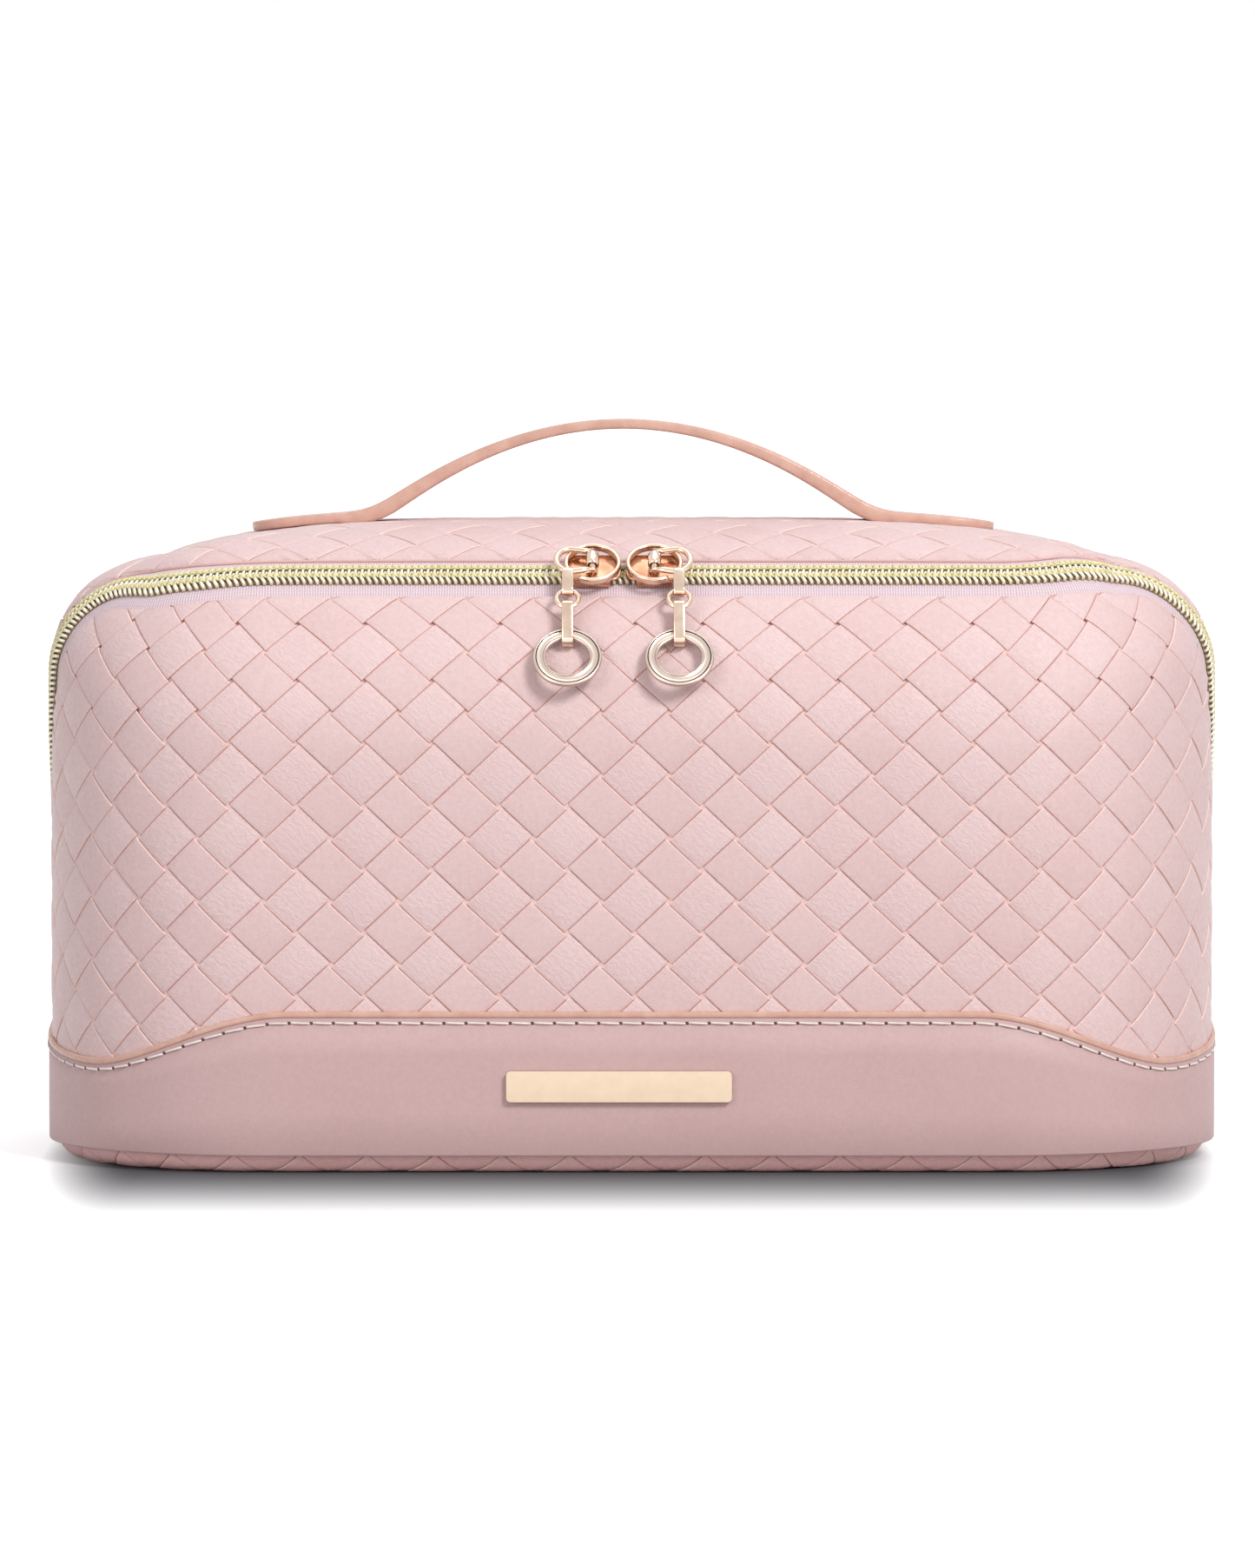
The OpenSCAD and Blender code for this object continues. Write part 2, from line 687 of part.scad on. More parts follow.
module pull_loop(hand) {
  r = loop_wire / 2;
  straight = loop_l - loop_corner;
  color(pale_gold) at_slider(hand) translate([0, 0, loop_n]) {
    rotate([90, 0, 0]) cylinder(h = 2 * loop_w + loop_bar, d = loop_bar, center = true);
    for (side = [-1, 1]) {
      translate([0, side * loop_w, 0]) rotate([0, -90, 0]) cylinder(h = straight, r = r);
      translate([-straight, side * (loop_w - loop_corner), 0])
        rotate([0, 0, side > 0 ? 90 : 180])
          rotate_extrude(angle = 90) translate([loop_corner, 0]) circle(r);
    }
    translate([-loop_l, 0, 0]) rotate([90, 0, 0])
      cylinder(h = 2 * (loop_w - loop_corner), r = r, center = true);
  }
}

function chain_at(hand) = -meet_shift + hand * (slider_pitch / 2 + chain_x);

// A flat strip bent into a long eye, hanging from its upper eye and leaning outwards
module long_eye(upper_r, lower_r, length) {
  module outline(grow) {
    lean = asin((lower_r - upper_r) / length);
    a = upper_r + grow;
    b = lower_r + grow;
    circle(a);
    translate([0, -length]) circle(b);
    polygon([
      [a * cos(lean), -a * sin(-lean)], [-a * cos(lean), a * sin(lean)],
      [-b * cos(lean), -length + b * sin(lean)], [b * cos(lean), -length + b * sin(lean)]
    ]);
  }
  rotate([90, 0, 90]) linear_extrude(strip_w, center = true) difference() {
    outline(strip_t);
    outline(0);
  }
}

module top_clip(hand) {
  color(pale_gold) translate([chain_at(hand), hook_y, hook_z]) rotate([-clip_lean, 0, 0])
    long_eye(eye_r, eye_r, clip_l);
}

module small_ring(hand) {
  color(pale_gold) translate([chain_at(hand), clip_y, clip_z]) rotate([-ring_lean, 0, 0])
    translate([0, 0, -small_ring_r]) rotate([90, 0, 0])
      rotate_extrude() translate([small_ring_r, 0]) circle(small_wire / 2);
}

module bar_link(hand) {
  color(pale_gold) translate([chain_at(hand), ring_y, ring_z]) rotate([-bar_lean, 0, 0])
    long_eye(eye_r, big_eye_r, bar_l);
}

module pull_ring(hand) {
  color(pale_gold) translate([chain_at(hand), bar_y, bar_z]) rotate([-pull_lean, 0, 0])
    translate([0, 0, -pull_mean]) rotate([90, 0, 0]) translate([0, 0, -pull_t / 2])
      rotate_extrude() translate([pull_hole_r, 0]) square([pull_r - pull_hole_r, pull_t]);
}

module slider_left() { slider(-1); }
module slider_crown_left() { slider_crown(-1); }
module pull_loop_left() { pull_loop(-1); }
module top_clip_left() { top_clip(-1); }
module small_ring_left() { small_ring(-1); }
module bar_link_left() { bar_link(-1); }
module pull_ring_left() { pull_ring(-1); }
module slider_right() { slider(1); }
module slider_crown_right() { slider_crown(1); }
module pull_loop_right() { pull_loop(1); }
module top_clip_right() { top_clip(1); }
module small_ring_right() { small_ring(1); }
module bar_link_right() { bar_link(1); }
module pull_ring_right() { pull_ring(1); }

front_wall_panel();
rear_sill_panel();
bottom_panel();
floor_board();
floor_lining();
base_foam();
base_lining();
base_band();
blank_plate();
zip_tape_base();
zip_coil_base();
zip_tab_left();
zip_tab_right();
hinge_strip_base();
lid_panel();
lid_foam();
lid_lining();
zip_tape_lid();
zip_coil_lid();
hinge_strip_lid();
slip_pocket();
pocket_hem();
handle_foot_left();
handle_foot_right();
handle_arch();
slider_left();
slider_crown_left();
pull_loop_left();
top_clip_left();
small_ring_left();
bar_link_left();
pull_ring_left();
slider_right();
slider_crown_right();
pull_loop_right();
top_clip_right();
small_ring_right();
bar_link_right();
pull_ring_right();
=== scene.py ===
"""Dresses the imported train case: woven leather, band, zip, pulls, strap handle and lining."""

import logging
import math
from collections.abc import Callable
from dataclasses import dataclass
from enum import Enum

import bmesh
import bpy
import numpy as np
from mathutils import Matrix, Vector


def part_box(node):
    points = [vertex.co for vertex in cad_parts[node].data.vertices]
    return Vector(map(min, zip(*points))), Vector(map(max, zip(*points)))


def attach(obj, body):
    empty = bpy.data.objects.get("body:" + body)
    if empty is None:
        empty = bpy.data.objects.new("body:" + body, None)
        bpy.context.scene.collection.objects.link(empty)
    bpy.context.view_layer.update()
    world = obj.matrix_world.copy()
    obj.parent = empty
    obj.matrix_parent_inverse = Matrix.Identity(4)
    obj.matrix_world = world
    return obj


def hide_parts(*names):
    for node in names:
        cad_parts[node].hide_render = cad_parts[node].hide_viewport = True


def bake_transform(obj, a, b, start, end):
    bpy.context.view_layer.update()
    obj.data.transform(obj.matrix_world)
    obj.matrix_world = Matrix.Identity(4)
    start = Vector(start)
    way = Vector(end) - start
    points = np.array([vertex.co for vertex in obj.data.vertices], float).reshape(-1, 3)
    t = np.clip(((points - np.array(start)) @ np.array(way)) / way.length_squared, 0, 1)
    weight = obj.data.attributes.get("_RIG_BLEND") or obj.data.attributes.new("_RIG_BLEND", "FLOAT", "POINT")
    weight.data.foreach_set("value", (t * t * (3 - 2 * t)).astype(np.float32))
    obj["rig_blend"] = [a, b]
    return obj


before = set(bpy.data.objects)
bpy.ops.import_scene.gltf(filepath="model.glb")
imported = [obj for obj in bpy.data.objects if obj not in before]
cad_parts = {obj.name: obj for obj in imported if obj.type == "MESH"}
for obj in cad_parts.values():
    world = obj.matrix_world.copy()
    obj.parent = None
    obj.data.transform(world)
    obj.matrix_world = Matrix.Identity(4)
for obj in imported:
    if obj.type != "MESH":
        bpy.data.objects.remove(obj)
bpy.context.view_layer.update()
LOG = logging.getLogger("train_case")
MM = 0.001


def ease(low: float, high: float, x: np.ndarray) -> np.ndarray:
    """Return the smooth step of x from 0 at low to 1 at high."""
    t = np.clip((x - low) / (high - low), 0.0, 1.0)
    return t * t * (3.0 - 2.0 * t)


def soft_plus(x: np.ndarray, width: float) -> np.ndarray:
    """Return x where it is large and 0 where it is far below 0, rounded over width."""
    return width * np.logaddexp(0.0, x / width)


def slope_of(height: Callable, s: np.ndarray, step: float = 0.5 * MM) -> np.ndarray:
    """Return the slope of a height at s, measured over a step to either side."""
    return (height(s + step) - height(s - step)) / (2 * step)


def lids(rows: int, columns: int) -> list:
    """Return the two end faces of a swept form whose vertices run row by row."""
    return [tuple(range(columns)), tuple(range((rows - 1) * columns, rows * columns))]


class Hand(Enum):
    """Side of the case, seen from its front."""

    LEFT = -1
    RIGHT = 1

    @property
    def word(self) -> str:
        """Return the side's name as the nodes spell it."""
        return self.name.lower()


@dataclass(frozen=True)
class CaseForm:
    """The case's skin as a function of s along its plan, v up its wall and the depth below it."""

    width: float = 268 * MM
    depth: float = 140 * MM
    height: float = 146.7 * MM
    corner: float = 52 * MM
    front_edge: float = 52 * MM
    side_edge: float = 24 * MM
    crown_drop: float = 9 * MM
    crown_power: float = 4.6
    zip_angle: float = math.radians(51.15)
    zip_turn_back: float = 21.2 * MM
    zip_slope: float = 2.0
    zip_ease: float = 7 * MM
    zip_low: float = 24 * MM
    zip_round: float = 6 * MM
    zip_end_back: float = 18 * MM
    zip_hang: tuple = ((4.3 * MM, -119 * MM, 20 * MM), (-2.4 * MM, 146 * MM, 16 * MM))
    base_edge: float = 7 * MM
    lid_edge: float = 6 * MM
    band_crest: float = 36.9 * MM
    band_trough: float = 25 * MM
    band_side: float = 31 * MM
    band_clear: float = 0.6 * MM
    wave_start: float = 4 * MM
    wave_low: float = 36 * MM
    wave_end: float = 21 * MM

    @property
    def run_x(self) -> float:
        """Return half the straight run of the front."""
        return self.width / 2 - self.corner

    @property
    def run_y(self) -> float:
        """Return half the straight run of a side."""
        return self.depth / 2 - self.corner

    @property
    def side_start(self) -> float:
        """Return s where the side's straight begins."""
        return self.run_x + self.corner * math.pi / 2

    @property
    def rear_start(self) -> float:
        """Return s where the rear corner begins."""
        return self.side_start + 2 * self.run_y

    @property
    def rear_end(self) -> float:
        """Return s where the back's straight begins."""
        return self.rear_start + self.corner * math.pi / 2

    @property
    def half_loop(self) -> float:
        """Return s at the middle of the back."""
        return self.rear_end + self.run_x

    @property
    def zip_end(self) -> float:
        """Return s where the zip ends."""
        return self.rear_end - self.zip_end_back

    @property
    def zip_inset(self) -> float:
        """Return how far the zip lies behind the front wall."""
        return self.front_edge * (1 - math.cos(self.zip_angle))

    def facing(self, s: np.ndarray) -> np.ndarray:
        """Return the wall's facing angle at s: 0 at the front, half a turn at the back."""
        a = np.abs(s)
        front = np.clip((a - self.run_x) / self.corner, 0, math.pi / 2)
        rear = np.clip((a - self.rear_start) / self.corner, 0, math.pi / 2)
        return front + rear

    def plan(self, s: np.ndarray, inset: np.ndarray) -> tuple[np.ndarray, np.ndarray]:
        """Return x and y of the plan at s, moved inwards by inset."""
        a, angle, r = np.abs(s), self.facing(s), self.corner - inset
        x = np.where(a < self.run_x, a, self.run_x + r * np.sin(angle))
        x = np.where(a > self.rear_end, self.half_loop - a, x)
        side = np.clip(a - self.side_start, 0, 2 * self.run_y)
        y = side - self.run_y - r * np.cos(angle)
        return np.where(s < 0, -x, x), y

    def edge_radius(self, s: np.ndarray) -> np.ndarray:
        """Return the radius of the rounding between wall and top at s."""
        return self.side_edge + (self.front_edge - self.side_edge) * np.cos(self.facing(s)) ** 2

    def fall_at(self, x: np.ndarray) -> np.ndarray:
        """Return how far the top lies below its crest at x."""
        reach = self.width / 2 - self.side_edge
        return self.crown_drop * (np.minimum(np.abs(x), reach) / reach) ** self.crown_power

    def wall_top(self, s: np.ndarray) -> np.ndarray:
        """Return the height where the wall starts to round over at s."""
        x, _ = self.plan(s, 0.0 * s)
        fall = self.fall_at(x) * np.sin(self.facing(s)) ** 2
        return self.height - fall - self.edge_radius(s)

    def crest(self, s: np.ndarray) -> np.ndarray:
        """Return v where the rounding reaches the top at s."""
        return self.wall_top(s) + self.edge_radius(s) * math.pi / 2

    def skin(self, s: np.ndarray, v: np.ndarray, deep: np.ndarray) -> np.ndarray:
        """Return points on the case.

        Args:
            s: Distance along the plan from the middle of the front.
            v: Height on the wall, and distance along its rounding above that.
            deep: Depth below the leather's face.

        Returns:
            One row of x, y, z for each entry.
        """
        s, v, deep = np.broadcast_arrays(np.asarray(s, float), v, deep)
        angle, r, top = self.facing(s), self.edge_radius(s), self.wall_top(s)
        turn = np.clip((v - top) / r, 0, math.pi / 2)
        inset = r * (1 - np.cos(turn))
        outer_x, _ = self.plan(s, inset)
        past_zip = ease(self.zip_inset, np.maximum(r, self.zip_inset + MM), inset)
        share = np.sin(angle) ** 2 + np.cos(angle) ** 2 * past_zip
        x, y = self.plan(s, r - (r - deep) * np.cos(turn))
        z = self.height - self.fall_at(outer_x) * share - r + (r - deep) * np.sin(turn)
        z = np.where(v <= top, v, z)
        return np.stack([x, y, z], axis=-1)

    def zip_line(self, s: np.ndarray) -> np.ndarray:
        """Return v of the middle of the zip at s."""
        front = self.height - self.front_edge * (1 - self.zip_angle)
        turn = self.side_start - self.zip_turn_back
        free = front - self.zip_slope * soft_plus(np.abs(s) - turn, self.zip_ease)
        hung = sum(size * np.exp(-(((s - at) / wide) ** 2)) for size, at, wide in self.zip_hang)
        return self.zip_low + soft_plus(free - self.zip_low, self.zip_round) - hung

    def zip_fall(self, s: np.ndarray) -> np.ndarray:
        """Return the slope of the zip line at s."""
        return slope_of(self.zip_line, s)

    def beside_zip(self, s: np.ndarray, reach: np.ndarray) -> tuple[np.ndarray, np.ndarray]:
        """Return s and v of a point beside the zip; reach is positive on the lid's side."""
        slope = self.zip_fall(s)
        size = np.sqrt(1 + slope**2)
        return s - slope * reach / size, self.zip_line(s) + reach / size

    def edge_height(self, s: np.ndarray, reach: float) -> np.ndarray:
        """Return v of the line that runs beside the zip at reach, as a function of s."""
        along = np.linspace(-self.half_loop, self.half_loop, 4001)
        edge_s, edge_v = self.beside_zip(along, reach)
        return np.interp(s, edge_s, edge_v)

    def band_top(self, s: np.ndarray) -> np.ndarray:
        """Return the height of the band's top edge at s."""
        a = np.abs(s)
        low_s, end_s = self.side_start - self.wave_low, self.side_start + self.wave_end
        sunk = ease(self.run_x - self.wave_start, low_s, a)
        wave = self.band_crest - (self.band_crest - self.band_trough) * sunk
        wave = wave + (self.band_side - self.band_trough) * ease(low_s, end_s, a)
        clear = (self.base_edge + self.band_clear) * np.sqrt(1 + self.zip_fall(s) ** 2)
        return np.minimum(wave, self.zip_line(s) - clear)

    def unroll_top(self, x: np.ndarray, y: np.ndarray) -> tuple[np.ndarray, np.ndarray, np.ndarray]:
        """Turn a flat sheet laid on the top into s, v and the share that still lies on the crown.

        Args:
            x: Sideways place on the flat sheet.
            y: Front to back place on the flat sheet.

        Returns:
            s and v on the skin, and how far inside the rounding's start a point lies, or 0.
        """
        core_x, core_y = np.clip(x, -self.run_x, self.run_x), np.clip(y, -self.run_y, self.run_y)
        away = np.hypot(x - core_x, y - core_y)
        angle = np.arctan2(np.abs(x - core_x), -(y - core_y) + 0.0)
        a = np.where(angle < math.pi / 2, self.run_x + self.corner * angle,
                     self.rear_start + self.corner * (angle - math.pi / 2))
        a = np.where(np.abs(x) <= self.run_x, np.where(y < 0, np.abs(x), self.half_loop - np.abs(x)), a)
        side = (np.abs(y) <= self.run_y) & (np.abs(x) > self.run_x)
        a = np.where(side, self.side_start + self.run_y + y, a)
        s = np.where(x < 0, -a, a)
        flat = self.corner - self.edge_radius(s)
        return s, self.crest(s) - np.maximum(away - flat, 0), np.maximum(flat - away, 0) * (away > 0)


FORM = CaseForm()


def new_piece(name: str, points: np.ndarray, faces: list, marks: dict | None = None) -> bpy.types.Object:
    """Make a smoothly shaded mesh object at the origin.

    Args:
        name: Name of the piece.
        points: One row of x, y, z for each vertex, in metres.
        faces: Vertex numbers of each face.
        marks: Numbers for each vertex, stored as attributes that the materials read.

    Returns:
        The new object, linked to the scene.
    """
    mesh = bpy.data.meshes.new(name)
    mesh.from_pydata(np.asarray(points).tolist(), [], [[int(i) for i in face] for face in faces])
    mesh.validate()
    mesh.update()
    mesh.shade_smooth()
    for key, values in (marks or {}).items():
        layer = mesh.attributes.new(key, "FLOAT", "POINT")
        layer.data.foreach_set("value", np.asarray(values, np.float32).reshape(-1))
    piece = bpy.data.objects.new(name, mesh)
    bpy.context.scene.collection.objects.link(piece)
    return piece


def grid_faces(rows: int, columns: int, close_rows: bool = False, close_columns: bool = False) -> list:
    """Return the quads of a grid whose vertices run row by row, optionally closed either way."""
    faces = []
    for i in range(rows if close_rows else rows - 1):
        for j in range(columns if close_columns else columns - 1):
            a, b = i * columns + j, i * columns + (j + 1) % columns
            c, d = ((i + 1) % rows) * columns + (j + 1) % columns, ((i + 1) % rows) * columns + j
            faces.append((a, b, c, d))
    return faces


def outward(piece: bpy.types.Object) -> bpy.types.Object:
    """Merge a closed mesh's doubles, point its faces outwards and return it."""
    work = bmesh.new()
    work.from_mesh(piece.data)
    bmesh.ops.remove_doubles(work, verts=work.verts, dist=1e-6)
    bmesh.ops.dissolve_degenerate(work, edges=work.edges, dist=1e-7)
    bmesh.ops.recalc_face_normals(work, faces=work.faces)
    if work.calc_volume(signed=True) < 0:
        bmesh.ops.reverse_faces(work, faces=work.faces)
    work.to_mesh(piece.data)
    work.free()
    return piece


@dataclass
class Wire:
    """A number socket that takes part in arithmetic."""

    graph: "Graph"
    socket: bpy.types.NodeSocket

    def _join(self, operation: str, left: object, right: object) -> "Wire":
        """Add a Math node and return its output."""
        return self.graph.node("ShaderNodeMath", {"operation": operation}, {0: left, 1: right})

    def __add__(self, other: object) -> "Wire":
        """Return the sum."""
        return self._join("ADD", self, other)

    def __radd__(self, other: object) -> "Wire":
        """Return the sum with the number on the left."""
        return self._join("ADD", other, self)

    def __sub__(self, other: object) -> "Wire":
        """Return the difference."""
        return self._join("SUBTRACT", self, other)

    def __rsub__(self, other: object) -> "Wire":
        """Return the difference with the number on the left."""
        return self._join("SUBTRACT", other, self)

    def __mul__(self, other: object) -> "Wire":
        """Return the product."""
        return self._join("MULTIPLY", self, other)

    def __rmul__(self, other: object) -> "Wire":
        """Return the product with the number on the left."""
        return self._join("MULTIPLY", other, self)

    def __pow__(self, other: float) -> "Wire":
        """Return the power."""
        return self._join("POWER", self, other)

    def sine(self) -> "Wire":
        """Return the sine."""
        return self._join("SINE", self, 0.0)


class Graph:
    """A material's node tree around one Principled shader."""

    def __init__(self, name: str) -> None:
        """Make the material.

        Args:
            name: The material's name.
        """
        self.material = bpy.data.materials.new(name)
        self.material.use_nodes = True
        self.tree = self.material.node_tree
        self.shader = self.tree.nodes["Principled BSDF"]

    def plug(self, socket: bpy.types.NodeSocket, value: object) -> None:
        """Link a Wire to a socket, or set the socket's value."""
        if isinstance(value, Wire):
            self.tree.links.new(value.socket, socket)
        else:
            socket.default_value = value

    def node(self, kind: str, settings: dict | None = None, inputs: dict | None = None,
             output: object = 0) -> Wire:
        """Add a node.

        Args:
            kind: The node's type.
            settings: Attributes of the node, set first.
            inputs: Values or Wires for its sockets, by name or number.
            output: Name or number of the socket to return.

        Returns:
            The chosen output.
        """
        made = self.tree.nodes.new(kind)
        for key, value in (settings or {}).items():
            setattr(made, key, value)
        for key, value in (inputs or {}).items():
            self.plug(made.inputs[key], value)
        return Wire(self, made.outputs[output])

    def place(self) -> Wire:
        """Return the object coordinates."""
        return self.node("ShaderNodeTexCoord", output="Object")

    def stored(self, name: str) -> Wire:
        """Return a number stored on the mesh."""
        return self.node("ShaderNodeAttribute", {"attribute_name": name}, output="Fac")

    def noise(self, size: float, detail: float = 3.0, rough: float = 0.55) -> Wire:
        """Return a noise whose features are about size metres across."""
        return self.node("ShaderNodeTexNoise", None, {"Vector": self.place(), "Scale": 1 / size,
                                                      "Detail": detail, "Roughness": rough}, "Fac")

    def cells(self, size: float, feature: str = "DISTANCE_TO_EDGE") -> Wire:
        """Return the distance inside cells about size metres across."""
        return self.node("ShaderNodeTexVoronoi", {"feature": feature},
                         {"Vector": self.place(), "Scale": 1 / size}, "Distance")

    def ramp(self, value: Wire, low: float, high: float) -> Wire:
        """Return value stretched from low..high to 0..1 and held there."""
        return self.node("ShaderNodeMapRange", None, {"Value": value, "From Min": low, "From Max": high},
                         "Result")

    def blend(self, factor: object, first: object, second: object) -> Wire:
        """Return a colour between two colours."""
        made = self.tree.nodes.new("ShaderNodeMix")
        made.data_type = "RGBA"
        for key, value in ((0, factor), (6, first), (7, second)):
            self.plug(made.inputs[key], value)
        return Wire(self, made.outputs[2])

    def bump(self, height: Wire, distance: float) -> None:
        """Feed the shader's normal from a height in units of distance metres."""
        inputs = {"Height": height, "Distance": distance, "Strength": 1.0}
        self.plug(self.shader.inputs["Normal"], self.node("ShaderNodeBump", None, inputs, "Normal"))

    def set(self, **values: object) -> None:
        """Set the shader's sockets; an underscore stands for a space."""
        for key, value in values.items():
            self.plug(self.shader.inputs[key.replace("_", " ")], value)


def colour(red: float, green: float, blue: float) -> tuple[float, float, float, float]:
    """Return a linear colour from the 0 to 255 values that a screen shows."""
    parts = [c / 255 for c in (red, green, blue)]
    parts = [c / 12.92 if c <= 0.04045 else ((c + 0.055) / 1.055) ** 2.4 for c in parts]
    return (*parts, 1.0)


@dataclass(frozen=True)
class LeatherFinish:
    """Grained leather with random tone; on the weave, painted shade in its seams and on every second strip,
    and a rim that is partly raw edge, partly painted highlight.
    """

    name: str
    pale: tuple
    deep: tuple
    crease: tuple | None = None
    # Rim colour: partly the paler raw edge of the leather, partly a painted highlight.
    cut: tuple = colour(246, 220, 210)
    grain: float = 0.42 * MM
    relief: float = 0.035 * MM
    rough: float = 0.5

    def build(self) -> bpy.types.Material:
        """Return the material."""
        g = Graph(self.name)
        cloud = g.ramp(g.noise(26 * MM, 3), 0.3, 0.7)
        fleck = g.ramp(g.noise(1.1 * MM, 4, 0.65), 0.32, 0.68)
        tone = cloud * 0.25 + fleck * 0.4
        if self.crease:
            # Random tone for each strip; every second strip is painted a little deeper, painted shade for
            # the light that falls differently on strips running the other way.
            tone = tone + g.stored("tone") * 0.12 + (1.0 - g.stored("odd")) * 0.18
        skin = g.blend(tone, self.pale, self.deep)
        grain = g.ramp(g.cells(self.grain), 0.0, 0.35)
        height = grain * 0.6 + g.noise(self.grain * 0.6, 3) * 0.4
        if self.crease:
            fold = g.ramp(g.node("ShaderNodeTexWave", {"bands_direction": "DIAGONAL"},
                                 {"Vector": g.place(), "Scale": 300.0, "Distortion": 9.0, "Detail": 3.0,
                                  "Detail Scale": 1.6}, "Fac"), 0.1, 0.9)
            height = height + fold * g.stored("odd") * 0.5
            # Painted shade darkens the seams, where the strips drop and dip under their neighbours; then the
            # rim colour goes on, partly the paler raw edge and partly a painted highlight.
            skin = g.blend(g.stored("cut") * 0.7, g.blend(g.stored("crease"), skin, self.crease), self.cut)
        g.set(Base_Color=skin, Roughness=g.ramp(fleck, 0.0, 1.0) * 0.12 + self.rough, Coat_Weight=0.06,
              Coat_Roughness=0.35)
        g.bump(height, self.relief)
        return g.material


@dataclass(frozen=True)
class PaintedEdge:
    """Brushed edge paint on raw leather edges."""

    name: str = "edge_paint"
    pale: tuple = colour(214, 172, 154)
    deep: tuple = colour(198, 152, 134)

    def build(self) -> bpy.types.Material:
        """Return the material."""
        g = Graph(self.name)
        run = g.ramp(g.noise(3.5 * MM, 4), 0.3, 0.72)
        g.set(Base_Color=g.blend(run, self.pale, self.deep), Roughness=run * 0.15 + 0.34, Coat_Weight=0.15)
        g.bump(g.noise(0.9 * MM, 4), 0.05 * MM)
        return g.material


@dataclass(frozen=True)
class RibbedCloth:
    """Woven tape or lining: ribs along and across, read from stored distances in millimetres."""

    name: str
    pale: tuple
    deep: tuple
    rib: float = 0.9
    cross: float = 0.45
    relief: float = 0.06 * MM
    rough: float = 0.85

    def build(self) -> bpy.types.Material:
        """Return the material."""
        g = Graph(self.name)
        along = (g.stored("along") * (2 * math.pi / self.cross)).sine()
        across = (g.stored("across") * (2 * math.pi / self.rib)).sine()
        weave = along * 0.55 + across * 0.12 + along * across * 0.2 + g.noise(0.5 * MM, 3) * 0.4
        tone = g.ramp(weave, -0.4, 1.0)
        g.set(Base_Color=g.blend(tone, self.deep, self.pale), Roughness=tone * 0.08 + self.rough,
              Sheen_Weight=0.25, Sheen_Roughness=0.5)
        g.bump(weave, self.relief)
        return g.material


@dataclass(frozen=True)
class SatinMetal:
    """Plated metal with fine polishing marks and warmer patches."""

    name: str
    bright: tuple
    warm: tuple
    rough: float = 0.16

    def build(self) -> bpy.types.Material:
        """Return the material."""
        g = Graph(self.name)
        patch = g.ramp(g.noise(4 * MM, 2), 0.35, 0.7)
        polish = g.noise(0.35 * MM, 4)
        g.set(Base_Color=g.blend(patch, self.bright, self.warm), Metallic=1.0,
              Roughness=polish * 0.12 + (self.rough - 0.06))
        g.bump(polish, 0.004 * MM)
        return g.material


@dataclass(frozen=True)
class SpunThread:
    """Sewing thread with a twist, or a moulded coil with a soft gloss."""

    name: str
    pale: tuple
    deep: tuple
    rough: float = 0.55
    metal: float = 0.0

    def build(self) -> bpy.types.Material:
        """Return the material."""
        g = Graph(self.name)
        fibre = g.noise(0.22 * MM, 3)
        tone = g.ramp(fibre * 0.5 + g.noise(2.5 * MM, 2) * 0.5, 0.35, 0.65)
        g.set(Base_Color=g.blend(tone, self.deep, self.pale), Roughness=fibre * 0.1 + self.rough,
              Metallic=self.metal)
        g.bump(fibre, 0.02 * MM)
        return g.material


@dataclass(frozen=True)
class PlainMatter:
    """Foam or board: a cellular, matt surface."""

    name: str
    pale: tuple
    deep: tuple
    cell: float = 0.8 * MM

    def build(self) -> bpy.types.Material:
        """Return the material."""
        g = Graph(self.name)
        pore = g.ramp(g.cells(self.cell, "F1"), 0.0, 0.7)
        g.set(Base_Color=g.blend(pore, self.deep, self.pale), Roughness=pore * 0.05 + 0.9)
        g.bump(pore, 0.08 * MM)
        return g.material


